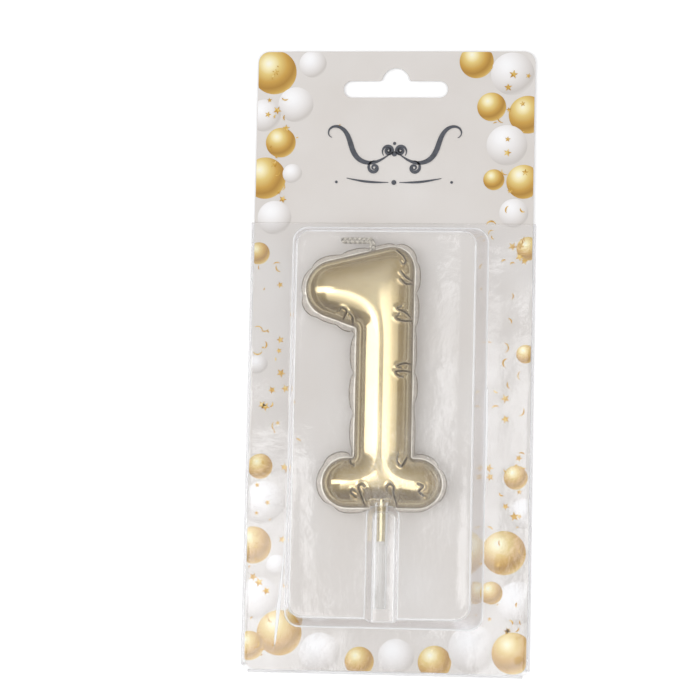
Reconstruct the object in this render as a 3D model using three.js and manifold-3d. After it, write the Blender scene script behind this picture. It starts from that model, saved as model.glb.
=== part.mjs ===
// Number candle in its slide blister pack, lying on its back.
// Millimetres. +X is right, +Y is towards the hang slot, +Z is up out of the card's face.
// The origin is the middle of the pack's underside.

import * as THREE from "three";
import * as BufferGeometryUtils from "three/addons/utils/BufferGeometryUtils.js";
import Module from "manifold-3d";

const wasm = await Module();
wasm.setup();

// Hang card
const cardWidth = 85;
const cardHeight = 188.5;
const cardThickness = 0.5;
const cardCornerRadius = 3.5;

// Euro hang slot: a long slot with round ends and a round bump above its middle
const slotLength = 32;
const slotHeight = 5.2;
const slotDrop = 11.7; // card's top edge down to the slot's middle line
const slotBumpRadius = 4.2;
const slotBumpHeight = 4; // bump's top above the slot's upper edge
const slotFilletRadius = 1;

// Clear plastic sheet and the rails folded from it round the card's edges
const sheetThickness = 0.3;
const railGap = 0.3; // card to the sheet above it and below it
const railPlay = 0.1; // card's edge to the middle of the bend
const lipWidth = 7; // folded lip, from the card's edge inwards
const lipGap = 1.2; // side lips to the bottom lip at the corners
const flangeMargin = 1.6; // flange above the bubble's foot

// Bubble, measured at its foot on the flange
const bubbleWidth = 59.3;
const bubbleLength = 120.8;
const bubbleDepth = 15;
const bubbleDraft = THREE.MathUtils.degToRad(10);
const bubbleFootRadius = 0.5;
const bubbleEdgeRadius = 1;
const bubbleCornerRadius = 4.4; // corners seen from the front
const bubbleBottomMargin = 13.1; // card's bottom edge up to the bubble's foot
const bubbleShift = -0.6; // bubble's middle from the card's middle

// Groove pinched into the bubble over the pick
const grooveWidth = 9.3; // at the bubble's face
const grooveDraft = THREE.MathUtils.degToRad(12);
const grooveShift = 0; // groove's middle from the card's middle
const grooveEndRadius = 2;
const grooveToPick = 0.4; // sheet to the pick under it
const grooveToFoot = 1.2; // groove's floor to the candle's foot

// Wax numeral, a puffed figure 1 on a flat foot
const candleHeight = 78.5;
const candleThickness = 13;
const puffRadius = 6.4; // how far the rounded edge reaches in from the outline
const stemWidth = 17.1;
const footWidth = 35.9;
const footHeight = 14.7;
const flagReach = 24.1; // flag's tip from the stem's middle
const flagTopSlope = THREE.MathUtils.degToRad(13.6);
const flagUnderSlope = THREE.MathUtils.degToRad(19.1);
const flagUnderDrop = 24.4; // candle's top down to the inner corner of flag and stem
const ridgeCornerRadius = 0.4;
const candleShift = -1.2; // stem's middle from the card's middle
const candleToCard = 0.3;

// Seam flash round the numeral at its middle plane, with scallops like a foil balloon's weld
const flashThickness = 0.6;
const flashWidth = 0.8;
const flashSpacing = 0.9; // spacing of the points that follow the scallops

// Socket in the foot's face that the pick's upper end shows in
const socketWidth = 7.2;
const socketHeight = 2.6;
const socketBackGap = 0.5; // behind the pick

// Wick
const wickDiameter = 2;
const wickEndDiameter = 1.6; // lacquered lower end, below the socket's roof
const wickClearance = 0.1;
const wickOffset = -4.3; // stub from the stem's middle
const wickStubHeight = 0.6; // stub's end above the numeral's highest point
const wickTipLength = 12.2;
const wickTipGap = 0.3;
const wickTipPastStub = 0.9; // folded end past the stub's middle
const wickLowerLength = 12.6; // lacquered lower end below the socket's roof

// Clear pick
const pickDiameter = 4;
const pickLength = 31.6;
const pickToWall = 3.95; // pick's lower end to the bubble's end wall
const pickEndGap = 1; // pick's upper end to the socket's roof
const pickBoreDepth = 13.4;
const pickBoreClearance = 0.1;
const pickChamfer = 0.3;

// Roundness of the solids
const arcSteps = 6;
const cardArcSteps = 16;
const puffSteps = 7;
const wickSides = 8;
const wickSteps = 44;
const pickSides = 24;

// Scallops of the flash: middle in numeral coordinates, half length along the edge, and rise
// y counts from the candle's top on the flag, from the foot's underside on the foot, and on the
// stem it is the share of the way from the foot to the flag
const scallops = {
  flag: [
    { x: -18.3, y: -4, reach: 4.8, rise: 0.9 },
    { x: -9.5, y: -1.9, reach: 4.3, rise: 1.1 },
    { x: -1.2, y: -0.1, reach: 3.6, rise: 0.5 },
    { x: 7, y: -1, reach: 4, rise: 1.1 },
    { x: 8.6, y: -9, reach: 4.6, rise: 1.2 },
    { x: 8.6, y: -19, reach: 4.8, rise: 0.9 },
    { x: -24.4, y: -11, reach: 4.6, rise: 0.7 },
    { x: -23.8, y: -19.1, reach: 4.2, rise: 1.7 },
    { x: -17.5, y: -21.5, reach: 4.6, rise: 0.9 },
    { x: -11.4, y: -23.6, reach: 3.2, rise: 1.7 },
  ],
  stem: [
    { x: 8.6, y: 0.83, reach: 5.5, rise: 0.4 },
    { x: 8.6, y: 0.54, reach: 4.2, rise: 0.9 },
    { x: 8.6, y: 0.185, reach: 6, rise: 0.4 },
    { x: -8.6, y: 0.795, reach: 5.2, rise: 1.1 },
    { x: -8.6, y: 0.5, reach: 5.4, rise: 1.2 },
    { x: -8.6, y: 0.2, reach: 4.6, rise: 0.8 },
  ],
  foot: [
    { x: -17.4, y: 7, reach: 6.4, rise: 1.1 },
    { x: -14, y: 14.6, reach: 4.6, rise: 1.6 },
    { x: -9.4, y: 0, reach: 4.6, rise: 1 },
    { x: 9, y: 0, reach: 4.8, rise: 0.4 },
    { x: 17.9, y: 6.6, reach: 5, rise: 0.8 },
    { x: 12.6, y: 14.6, reach: 4.4, rise: 0.9 },
  ],
};

// Pinch creases in the puffed faces: middle as above, direction in degrees and length
const creaseWidth = 1;
const creaseDepth = 0.8;
const creases = {
  flag: [
    { x: 5.3, y: -3.5, turn: 70, length: 4 },
    { x: 6.4, y: -7.9, turn: -12, length: 4.2 },
    { x: 6.4, y: -11.1, turn: 14, length: 4 },
    { x: 6.2, y: -19.5, turn: -24, length: 4.4 },
    { x: 6.2, y: -22.3, turn: 2, length: 4.6 },
    { x: -11.2, y: -19.9, turn: 62, length: 4.6 },
    { x: -8.8, y: -22.3, turn: 34, length: 3.4 },
  ],
  stem: [
    { x: 6.2, y: 0.71, turn: 12, length: 4 },
    { x: 6.2, y: 0.615, turn: -10, length: 4.2 },
  ],
  foot: [
    { x: 6.3, y: 14.9, turn: 30, length: 4.4 },
    { x: -8.7, y: 13.6, turn: -36, length: 4.2 },
    { x: -8.3, y: 4.1, turn: -34, length: 4.2 },
    { x: -5.6, y: 4.3, turn: -66, length: 5.4 },
    { x: 3.6, y: 4.6, turn: 82, length: 5.6 },
    { x: 11.6, y: 5.4, turn: -28, length: 4.6 },
  ],
};

// Levels above the underside
const cardBack = sheetThickness + railGap;
const cardFace = cardBack + cardThickness;
const flangeFace = cardFace + railGap + sheetThickness;
const bubbleFace = flangeFace + bubbleDepth;
const bendRadius = flangeFace / 2;
const candleMiddle = cardFace + candleToCard + candleThickness / 2;

// Places across and along the card, from the middle and from the bottom edge
const bendMiddle = cardWidth / 2 + railPlay;
const packBottom = -railPlay - bendRadius;
const bubbleMiddle = bubbleBottomMargin + bubbleLength / 2;
const flangeTop = bubbleBottomMargin + bubbleLength + flangeMargin;
const pickRadius = pickDiameter / 2;
const wallAtPick = bubbleBottomMargin + sheetThickness / Math.cos(bubbleDraft)
  + Math.tan(bubbleDraft) * (candleMiddle + pickRadius - flangeFace);
const pickBottom = wallAtPick + pickToWall;
const pickTop = pickBottom + pickLength;
const candleBottom = pickTop + pickEndGap - socketHeight;

// Numeral coordinates: x from the stem's middle, y from the foot's underside, z from the middle plane
const crest = stemWidth / 2 - puffRadius;
const footCrest = footHeight / 2 - puffRadius;
const footMiddle = footHeight / 2;
const footEnd = footWidth / 2 - puffRadius - footCrest;
const puffRise = candleThickness / 2 - flashThickness / 2;
const flagUnderHeight = candleHeight - flagUnderDrop;
const socketRoof = socketHeight;
const wickRadius = wickDiameter / 2;
const wickEndRadius = wickEndDiameter / 2;
const wickShoulder = socketRoof - 0.3; // where the wick turns thin
const wickStubTop = candleHeight + wickStubHeight;
const wickLowerEnd = socketRoof - wickLowerLength;

// Details listed by flag, stem and foot, with their y counted from the foot's underside
function placed({ flag, stem, foot }) {
  const stemLength = flagUnderHeight - footHeight;
  return [
    ...flag.map((detail) => ({ ...detail, y: candleHeight + detail.y })),
    ...stem.map((detail) => ({ ...detail, y: footHeight + stemLength * detail.y })),
    ...foot,
  ];
}

// A three.js geometry as a solid for joining and cutting
function toSolid(geometry) {
  const bare = geometry.clone();
  bare.deleteAttribute("normal");
  bare.deleteAttribute("uv");
  const merged = BufferGeometryUtils.mergeVertices(bare, 1e-4);
  return new wasm.Manifold(new wasm.Mesh({
    numProp: 3,
    vertProperties: Float32Array.from(merged.attributes.position.array),
    triVerts: Uint32Array.from(merged.index.array),
  }));
}

// A joined or cut solid as a three.js geometry
function toGeometry(solid) {
  const mesh = solid.getMesh();
  const geometry = new THREE.BufferGeometry();
  geometry.setAttribute("position", new THREE.BufferAttribute(mesh.vertProperties, 3));
  geometry.setIndex(new THREE.BufferAttribute(mesh.triVerts, 1));
  geometry.computeVertexNormals();
  return geometry;
}

// A flat outline given a thickness along +Z, from the given level
function slab(shape, thickness, level, curveSegments = arcSteps) {
  const geometry = new THREE.ExtrudeGeometry(shape, {
    depth: thickness,
    bevelEnabled: false,
    curveSegments,
  });
  return geometry.translate(0, 0, level);
}

// One level of a lofted body: a rectangle with round corners, counterclockwise
function roundedRing(middleX, middleY, halfX, halfY, radius, z) {
  const ring = [];
  for (let corner = 0; corner < 4; corner += 1) {
    const sideX = corner === 0 || corner === 3 ? 1 : -1;
    const sideY = corner < 2 ? 1 : -1;
    for (let step = 0; step <= arcSteps; step += 1) {
      const angle = (corner + step / arcSteps) * Math.PI / 2;
      ring.push([
        middleX + sideX * (halfX - radius) + radius * Math.cos(angle),
        middleY + sideY * (halfY - radius) + radius * Math.sin(angle),
        z,
      ]);
    }
  }
  return ring;
}

// A closed body through rings of equal counts, from the lowest to the highest
function loft(rings) {
  const count = rings[0].length;
  const points = rings.flat(2);
  const faces = [];
  for (let level = 0; level + 1 < rings.length; level += 1) {
    for (let i = 0; i < count; i += 1) {
      const here = level * count + i;
      const next = level * count + (i + 1) % count;
      faces.push(here, next, next + count, here, next + count, here + count);
    }
  }
  const top = (rings.length - 1) * count;
  for (let i = 1; i + 1 < count; i += 1) {
    faces.push(0, i + 1, i);
    faces.push(top, top + i, top + i + 1);
  }
  const geometry = new THREE.BufferGeometry();
  geometry.setAttribute("position", new THREE.Float32BufferAttribute(points, 3));
  geometry.setIndex(faces);
  return geometry;
}

// Card with round corners and the hang slot
function cardGeometry() {
  const half = cardWidth / 2;
  const r = cardCornerRadius;
  const shape = new THREE.Shape();
  shape.absarc(half - r, cardHeight - r, r, 0, Math.PI / 2);
  shape.absarc(-half + r, cardHeight - r, r, Math.PI / 2, Math.PI);
  shape.absarc(-half + r, r, r, Math.PI, Math.PI * 1.5);
  shape.absarc(half - r, r, r, Math.PI * 1.5, Math.PI * 2);
  shape.holes.push(hangSlot());
  return slab(shape, cardThickness, cardBack, cardArcSteps);
}

// Slot's edge: the bump's circle meets the slot's upper edge through a small fillet on each side
function hangSlot() {
  const middle = cardHeight - slotDrop;
  const end = slotHeight / 2;
  const endMiddle = slotLength / 2 - end;
  const bumpMiddle = end + slotBumpHeight - slotBumpRadius;
  const rise = end + slotFilletRadius - bumpMiddle;
  const filletX = Math.sqrt((slotBumpRadius + slotFilletRadius) ** 2 - rise ** 2);
  const filletY = middle + end + slotFilletRadius;
  const meet = Math.atan2(rise, filletX);
  const quarter = Math.PI / 2;
  const slot = new THREE.Path();
  slot.absarc(endMiddle, middle, end, -quarter, quarter);
  slot.absarc(filletX, filletY, slotFilletRadius, -quarter, meet - Math.PI, true);
  slot.absarc(0, middle + bumpMiddle, slotBumpRadius, meet, Math.PI - meet);
  slot.absarc(-filletX, filletY, slotFilletRadius, -meet, -quarter, true);
  slot.absarc(-endMiddle, middle, end, quarter, 3 * quarter);
  slot.closePath();
  return slot;
}

// Section of the flange and both side rails: a flat sheet bent round the card's edges
function railSection() {
  const lipEnd = cardWidth / 2 - lipWidth;
  const inner = bendRadius - sheetThickness;
  const quarter = Math.PI / 2;
  const section = new THREE.Shape();
  section.moveTo(lipEnd, 0);
  section.absarc(bendMiddle, bendRadius, bendRadius, -quarter, quarter);
  section.absarc(-bendMiddle, bendRadius, bendRadius, quarter, 3 * quarter);
  section.lineTo(-lipEnd, 0);
  section.lineTo(-lipEnd, sheetThickness);
  section.absarc(-bendMiddle, bendRadius, inner, 3 * quarter, quarter, true);
  section.absarc(bendMiddle, bendRadius, inner, quarter, -quarter, true);
  section.lineTo(lipEnd, sheetThickness);
  section.closePath();
  return section;
}

// Section of the bottom fold, from the flange round the card's bottom edge to the lip's end
function bottomFoldSection() {
  const inner = bendRadius - sheetThickness;
  const quarter = Math.PI / 2;
  const section = new THREE.Shape();
  section.moveTo(lipWidth, flangeFace);
  section.absarc(-railPlay, bendRadius, bendRadius, quarter, 3 * quarter);
  section.lineTo(lipWidth, 0);
  section.lineTo(lipWidth, sheetThickness);
  section.absarc(-railPlay, bendRadius, inner, 3 * quarter, quarter, true);
  section.lineTo(lipWidth, flangeFace - sheetThickness);
  section.closePath();
  return section;
}

// Flange with its side rails and bottom fold, the bottom lip's ends cut at 45 degrees
function flangeSolid() {
  const railStart = lipGap;
  const rails = new THREE.ExtrudeGeometry(railSection(), {
    depth: flangeTop - railStart,
    bevelEnabled: false,
    curveSegments: arcSteps,
  });
  rails.rotateX(Math.PI / 2).translate(0, flangeTop, 0);
  const plateWidth = 2 * bendMiddle;
  const plate = new THREE.BoxGeometry(plateWidth, flangeTop + railPlay, sheetThickness);
  plate.translate(0, (flangeTop - railPlay) / 2, flangeFace - sheetThickness / 2);
  const foldHalf = cardWidth / 2 - lipGap;
  const fold = new THREE.ExtrudeGeometry(bottomFoldSection(), {
    depth: 2 * foldHalf,
    bevelEnabled: false,
    curveSegments: arcSteps,
  });
  const alongX = new THREE.Matrix4().makeBasis(
    new THREE.Vector3(0, 1, 0),
    new THREE.Vector3(0, 0, 1),
    new THREE.Vector3(1, 0, 0),
  );
  fold.applyMatrix4(alongX).translate(-foldHalf, 0, 0);
  const trim = new THREE.Shape();
  trim.moveTo(-foldHalf, packBottom - 1);
  trim.lineTo(foldHalf, packBottom - 1);
  trim.lineTo(foldHalf, 0);
  trim.lineTo(foldHalf - lipWidth - lipGap, lipWidth + lipGap);
  trim.lineTo(-foldHalf + lipWidth + lipGap, lipWidth + lipGap);
  trim.lineTo(-foldHalf, 0);
  trim.closePath();
  const trimmed = toSolid(fold).intersect(toSolid(slab(trim, flangeFace + 2, -1)));
  return toSolid(rails).add(toSolid(plate)).add(trimmed.subtract(railLipSpace()));
}

// Room that the bottom lip leaves for the side lips and the gaps beside them
function railLipSpace() {
  const width = lipWidth + lipGap;
  const side = cardWidth / 2 - width / 2;
  const left = new THREE.BoxGeometry(width, 4 * lipWidth, cardFace);
  left.translate(-side, 2 * lipWidth + railPlay / 2, 0);
  const right = left.clone().translate(2 * side, 0, 0);
  return toSolid(left).add(toSolid(right));
}

// Wall of the bubble as pairs of inset and level, drawn in by the given distance
// It runs from the foot's fillet up the leaning wall and over the rounded edge to the face
function bubbleWall(drawnIn) {
  const lean = (level) => Math.tan(bubbleDraft) * (level - flangeFace);
  const footLevel = flangeFace + bubbleFootRadius;
  const footInset = lean(footLevel) - bubbleFootRadius / Math.cos(bubbleDraft);
  const edgeLevel = bubbleFace - bubbleEdgeRadius;
  const edgeInset = lean(edgeLevel) + bubbleEdgeRadius / Math.cos(bubbleDraft);
  const wall = [];
  for (let step = 0; step <= arcSteps; step += 1) {
    const angle = Math.PI / 2 - (Math.PI / 2 - bubbleDraft) * step / arcSteps;
    const radius = bubbleFootRadius + drawnIn;
    wall.push([footInset + radius * Math.cos(angle), footLevel - radius * Math.sin(angle)]);
  }
  for (let step = 0; step <= arcSteps; step += 1) {
    const angle = bubbleDraft + (Math.PI / 2 - bubbleDraft) * step / arcSteps;
    const radius = bubbleEdgeRadius - drawnIn;
    wall.push([edgeInset - radius * Math.cos(angle), edgeLevel + radius * Math.sin(angle)]);
  }
  return wall;
}

// Solid bubble with its surface drawn in by the given distance, started below the flange
function bubbleSolid(drawnIn) {
  const wall = bubbleWall(drawnIn);
  const start = [wall[0][0], wall[0][1] - sheetThickness / 2 - drawnIn];
  const rings = [start, ...wall].map(([inset, level]) => roundedRing(
    bubbleShift,
    bubbleMiddle,
    bubbleWidth / 2 - inset,
    bubbleLength / 2 - inset,
    bubbleCornerRadius - drawnIn,
    level,
  ));
  return toSolid(loft(rings));
}

// Room of the groove over the pick, widened by the given distance
function grooveSolid(widened) {
  const floor = candleMiddle + pickRadius + grooveToPick + sheetThickness - widened;
  const above = bubbleFace + 1;
  const end = candleBottom - grooveToFoot + widened;
  const start = packBottom;
  const rings = [floor, above].map((level) => {
    const spread = Math.tan(grooveDraft) * (level - bubbleFace) + widened / Math.cos(grooveDraft);
    const halfWidth = grooveWidth / 2 + spread;
    const top = end + Math.tan(grooveDraft) * (level - floor);
    const radius = grooveEndRadius;
    return roundedRing(grooveShift, (top + start) / 2, halfWidth, (top - start) / 2, radius, level);
  });
  return toSolid(loft(rings));
}

// Blister: one clear sheet with the bubble, the groove, the flange and the folded rails
function blisterGeometry() {
  const outside = bubbleSolid(0).subtract(grooveSolid(0));
  const inside = bubbleSolid(sheetThickness).subtract(grooveSolid(sheetThickness));
  return toGeometry(flangeSolid().add(outside).subtract(inside));
}

// Crest of the numeral: its outline drawn in by the rounded edge, counterclockwise from the foot
function crestShape() {
  const quarter = Math.PI / 2;
  const peakX = crest - ridgeCornerRadius;
  const peakY = candleHeight - puffRadius - ridgeCornerRadius;
  const topRise = Math.tan(flagTopSlope);
  const underRise = Math.tan(flagUnderSlope);
  const topAtMiddle = peakY + ridgeCornerRadius / Math.cos(flagTopSlope) - topRise * peakX;
  const underAtMiddle = flagUnderHeight - underRise * stemWidth / 2 + puffRadius / Math.cos(flagUnderSlope);
  const tipX = puffRadius - flagReach;
  const gapAtTip = topAtMiddle + topRise * tipX - (underAtMiddle - underRise * tipX);
  const spread = 1 / Math.cos(flagTopSlope) + 1 / Math.cos(flagUnderSlope);
  const tipRadius = gapAtTip / (spread - topRise - underRise);
  const tipMiddleX = tipX + tipRadius;
  const tipMiddleY = topAtMiddle + topRise * tipMiddleX - tipRadius / Math.cos(flagTopSlope);
  const shape = new THREE.Shape();
  shape.absarc(footEnd, footMiddle, footCrest, -quarter, quarter);
  shape.lineTo(crest, footMiddle + footCrest);
  shape.absarc(peakX, peakY, ridgeCornerRadius, 0, quarter + flagTopSlope);
  shape.absarc(tipMiddleX, tipMiddleY, tipRadius, quarter + flagTopSlope, 3 * quarter - flagUnderSlope);
  shape.lineTo(-crest, underAtMiddle + underRise * crest);
  shape.lineTo(-crest, footMiddle + footCrest);
  shape.absarc(-footEnd, footMiddle, footCrest, quarter, 3 * quarter);
  return shape;
}

// Closed loop of points moved outwards by a distance, corners kept sharp
function offsetLoop(points, distance) {
  return points.map((point, i) => {
    const before = point.clone().sub(points.at(i - 1)).normalize();
    const after = points[(i + 1) % points.length].clone().sub(point).normalize();
    const outward = new THREE.Vector2(before.y + after.y, -before.x - after.x).normalize();
    const reach = distance / (outward.x * before.y - outward.y * before.x);
    return point.clone().addScaledVector(outward, reach);
  });
}

// Points of the crest's loop, without the repeated last one
function crestLoop() {
  const points = crestShape().getPoints(arcSteps);
  const kept = points.filter((point, i) => point.distanceTo(points.at(i - 1)) > 1e-6);
  return kept;
}

// Outline of the seam flash: an even rim that swells out in each scallop
function flashShape() {
  const rim = offsetLoop(crestLoop(), puffRadius + flashWidth);
  const swellings = placed(scallops);
  const fine = [];
  rim.forEach((point, i) => {
    const next = rim[(i + 1) % rim.length];
    const pieces = Math.max(1, Math.round(point.distanceTo(next) / flashSpacing));
    for (let step = 0; step < pieces; step += 1) {
      fine.push(point.clone().lerp(next, step / pieces));
    }
  });
  const edge = fine.map((point, i) => {
    const along = fine[(i + 1) % fine.length].clone().sub(fine.at(i - 1)).normalize();
    const rise = Math.max(0, ...swellings.map((scallop) => {
      const away = Math.hypot(point.x - scallop.x, point.y - scallop.y) / scallop.reach;
      return away < 1 ? scallop.rise * Math.sqrt(1 - away ** 2) : 0;
    }));
    return point.clone().add(new THREE.Vector2(along.y, -along.x).multiplyScalar(rise));
  });
  return new THREE.Shape(edge);
}

// Distance from a point to the crest's loop
function distanceToCrest(x, y) {
  const loop = crestLoop();
  const place = new THREE.Vector3(x, y, 0);
  const nearest = new THREE.Vector3();
  return Math.min(...loop.map((point, i) => {
    const next = loop[(i + 1) % loop.length];
    const edge = new THREE.Line3(new THREE.Vector3(point.x, point.y, 0), new THREE.Vector3(next.x, next.y, 0));
    edge.closestPointToPoint(place, true, nearest);
    return nearest.distanceTo(place);
  }));
}

// One pinch crease: a long narrow dent that follows the puffed face
function creaseSolid({ x, y, turn, length }, side) {
  const away = Math.min(1, distanceToCrest(x, y) / puffRadius);
  const level = flashThickness / 2 + puffRise * Math.sqrt(1 - away ** 2);
  const dent = new THREE.SphereGeometry(1, 8, 5);
  dent.scale(length / 2, creaseWidth / 2, creaseDepth);
  dent.rotateZ(THREE.MathUtils.degToRad(turn)).translate(x, y, side * level);
  return toSolid(dent);
}

// Wick's route from the stub's end through the wax to the shoulder, in numeral coordinates
function wickRoute() {
  const bendTop = candleHeight - puffRadius;
  const bendBottom = footHeight;
  const third = (bendTop - bendBottom) / 3;
  const route = new THREE.CurvePath();
  const stubEnd = new THREE.Vector3(wickOffset, wickStubTop, 0);
  const bendStart = new THREE.Vector3(wickOffset, bendTop, 0);
  const bendEnd = new THREE.Vector3(0, bendBottom, 0);
  const shoulder = new THREE.Vector3(0, wickShoulder, 0);
  route.add(new THREE.LineCurve3(stubEnd, bendStart));
  route.add(new THREE.CubicBezierCurve3(
    bendStart,
    new THREE.Vector3(wickOffset, bendTop - third, 0),
    new THREE.Vector3(0, bendBottom + third, 0),
    bendEnd,
  ));
  route.add(new THREE.LineCurve3(bendEnd, shoulder));
  return route;
}

// Round cord of the given radius along the wick's route
function wickTube(radius) {
  const section = new THREE.Shape();
  section.absarc(0, 0, radius, 0, Math.PI * 2);
  return new THREE.ExtrudeGeometry(section, {
    extrudePath: wickRoute(),
    steps: wickSteps,
    curveSegments: wickSides / 2,
  });
}

// Socket cut into the foot's face from just behind the pick to past the front, with an arched roof
function socketSolid() {
  const half = socketWidth / 2;
  const arch = new THREE.Shape();
  const below = -flashWidth - 2;
  arch.moveTo(-half, below);
  arch.lineTo(half, below);
  arch.absarc(half - socketRoof / 2, socketRoof / 2, socketRoof / 2, 0, Math.PI / 2);
  arch.absarc(-half + socketRoof / 2, socketRoof / 2, socketRoof / 2, Math.PI / 2, Math.PI);
  arch.closePath();
  const back = -pickRadius - socketBackGap;
  return toSolid(slab(arch, candleThickness / 2 - back, back));
}

// Wax numeral: the crest rounded out to the seam on both faces, its flash, creases, socket and wick hole
function numeralGeometry() {
  const puffed = new THREE.ExtrudeGeometry(crestShape(), {
    depth: flashThickness,
    bevelSize: puffRadius,
    bevelThickness: puffRise,
    bevelSegments: puffSteps,
    curveSegments: arcSteps,
  });
  puffed.translate(0, 0, -flashThickness / 2);
  let solid = toSolid(puffed).add(toSolid(slab(flashShape(), flashThickness, -flashThickness / 2)));
  for (const crease of placed(creases)) {
    solid = solid.subtract(creaseSolid(crease, 1)).subtract(creaseSolid(crease, -1));
  }
  solid = solid.subtract(socketSolid());
  return toGeometry(solid.subtract(toSolid(wickTube(wickRadius + wickClearance))));
}

// Wick from the stub through the wax, with its thinner lacquered lower end
function wickCoreGeometry() {
  const overlap = 1;
  const length = wickShoulder + overlap - wickLowerEnd;
  const end = new THREE.CylinderGeometry(wickEndRadius, wickEndRadius, length, pickSides);
  end.translate(0, wickLowerEnd + length / 2, 0);
  return toGeometry(toSolid(wickTube(wickRadius)).add(toSolid(end)));
}

// Free end of the wick, folded over to the left above the stub
function wickTipGeometry() {
  const straight = wickTipLength - wickDiameter;
  const tip = new THREE.CapsuleGeometry(wickRadius, straight, 3, wickSides);
  tip.rotateZ(Math.PI / 2);
  const right = wickOffset + wickTipPastStub + wickRadius;
  return tip.translate(right - wickTipLength / 2, wickStubTop + wickTipGap + wickRadius, 0);
}

// Clear pick: a round rod with a blind bore in its upper end
function pickGeometry() {
  const top = socketRoof - pickEndGap;
  const bottom = top - pickLength;
  const bore = wickEndRadius + pickBoreClearance;
  const profile = [
    [0, bottom],
    [pickRadius - pickChamfer, bottom],
    [pickRadius, bottom + pickChamfer],
    [pickRadius, top],
    [bore, top],
    [bore, top - pickBoreDepth],
    [0, top - pickBoreDepth],
  ].map(([radius, height]) => new THREE.Vector2(radius, height));
  return new THREE.LatheGeometry(profile, pickSides);
}

const printedCard = new THREE.MeshStandardMaterial({ color: 0xd9d5d2, roughness: 0.6, metalness: 0 });
const clearSheet = new THREE.MeshStandardMaterial({
  color: 0xe4e6e8,
  roughness: 0.08,
  metalness: 0,
  transparent: true,
  opacity: 0.25,
});
const goldWax = new THREE.MeshStandardMaterial({ color: 0xb9a57c, roughness: 0.25, metalness: 0.9 });
const braidedCotton = new THREE.MeshStandardMaterial({ color: 0xcfc9bb, roughness: 0.8, metalness: 0 });
const clearRod = new THREE.MeshStandardMaterial({
  color: 0xe8eaec,
  roughness: 0.05,
  metalness: 0,
  transparent: true,
  opacity: 0.35,
});

function namedMesh(name, geometry, material) {
  const mesh = new THREE.Mesh(geometry, material);
  mesh.name = name;
  return mesh;
}

const candle = new THREE.Group();
candle.position.set(candleShift, candleBottom, candleMiddle);
candle.add(namedMesh("numeral_wax", numeralGeometry(), goldWax));
candle.add(namedMesh("wick_core", wickCoreGeometry(), braidedCotton));
candle.add(namedMesh("wick_tip", wickTipGeometry(), braidedCotton));
candle.add(namedMesh("clear_pick", pickGeometry(), clearRod));

const pack = new THREE.Group();
pack.position.y = -(cardHeight + packBottom) / 2;
pack.add(namedMesh("backing_card", cardGeometry(), printedCard));
pack.add(namedMesh("blister_shell", blisterGeometry(), clearSheet));
pack.add(candle);

export default pack;
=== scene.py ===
# Gold number candle in a clear slide blister on a printed hang card, lying on a pale floor.
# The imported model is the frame, and finer pieces, materials, lamps and the camera are added to it.
# Shapes are worked out in millimetres in the model's own axes and stored in metres.

import math

import bpy
import numpy as np
from bpy.props import FloatProperty, FloatVectorProperty, IntProperty, PointerProperty
from mathutils import Matrix, Vector
from mathutils.geometry import delaunay_2d_cdt


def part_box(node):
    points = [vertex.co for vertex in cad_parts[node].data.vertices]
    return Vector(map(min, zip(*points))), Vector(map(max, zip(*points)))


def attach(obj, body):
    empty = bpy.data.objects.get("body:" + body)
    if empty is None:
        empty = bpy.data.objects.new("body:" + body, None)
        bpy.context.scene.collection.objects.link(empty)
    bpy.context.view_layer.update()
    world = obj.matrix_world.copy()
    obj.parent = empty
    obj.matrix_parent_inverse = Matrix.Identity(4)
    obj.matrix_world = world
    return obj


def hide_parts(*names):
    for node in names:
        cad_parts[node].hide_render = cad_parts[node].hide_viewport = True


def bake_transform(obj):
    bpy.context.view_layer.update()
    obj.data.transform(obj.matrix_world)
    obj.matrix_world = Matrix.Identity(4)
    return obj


bl_info = {
    "name": "Number Candle Pack",
    "version": (1, 0, 0),
    "blender": (4, 5, 0),
    "location": "View3D > Sidebar > Candle Pack",
    "description": "Dresses a packed number candle: card, print, clear blister, gold wax, wick and pick",
    "category": "Object",
}

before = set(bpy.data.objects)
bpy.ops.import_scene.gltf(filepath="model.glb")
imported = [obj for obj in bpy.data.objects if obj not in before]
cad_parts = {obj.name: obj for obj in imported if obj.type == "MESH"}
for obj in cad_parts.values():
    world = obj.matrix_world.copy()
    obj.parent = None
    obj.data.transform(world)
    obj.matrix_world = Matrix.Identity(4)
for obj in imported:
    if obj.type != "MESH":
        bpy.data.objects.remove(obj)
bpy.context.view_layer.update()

MM = 0.001
card_low, card_high = (np.array(corner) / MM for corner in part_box("backing_card"))
blister_low, blister_high = (np.array(corner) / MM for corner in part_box("blister_shell"))
pick_low, pick_high = (np.array(corner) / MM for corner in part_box("clear_pick"))
tip_low, tip_high = (np.array(corner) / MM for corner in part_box("wick_tip"))


def length(name, description, millimetres):
    """A length property in metres with its default given in millimetres."""
    return FloatProperty(
        name=name, description=description, default=millimetres * MM, min=0,
        subtype="DISTANCE", unit="LENGTH", precision=4,
    )


def angle(name, description, degrees):
    """An angle property with its default given in degrees."""
    return FloatProperty(
        name=name, description=description, default=math.radians(degrees),
        subtype="ANGLE", unit="ROTATION",
    )


def linear(code):
    """Linear colour of an sRGB hex code such as d9d5d2."""
    srgb = np.array([int(code[i:i + 2], 16) for i in (0, 2, 4)]) / 255
    return tuple(np.where(srgb <= 0.04045, srgb / 12.92, ((srgb + 0.055) / 1.055) ** 2.4))


def colour(name, description, code):
    """A colour property with its default given as an sRGB hex code."""
    return FloatVectorProperty(
        name=name, description=description, default=linear(code), size=3, min=0, max=1, subtype="COLOR",
    )


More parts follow.
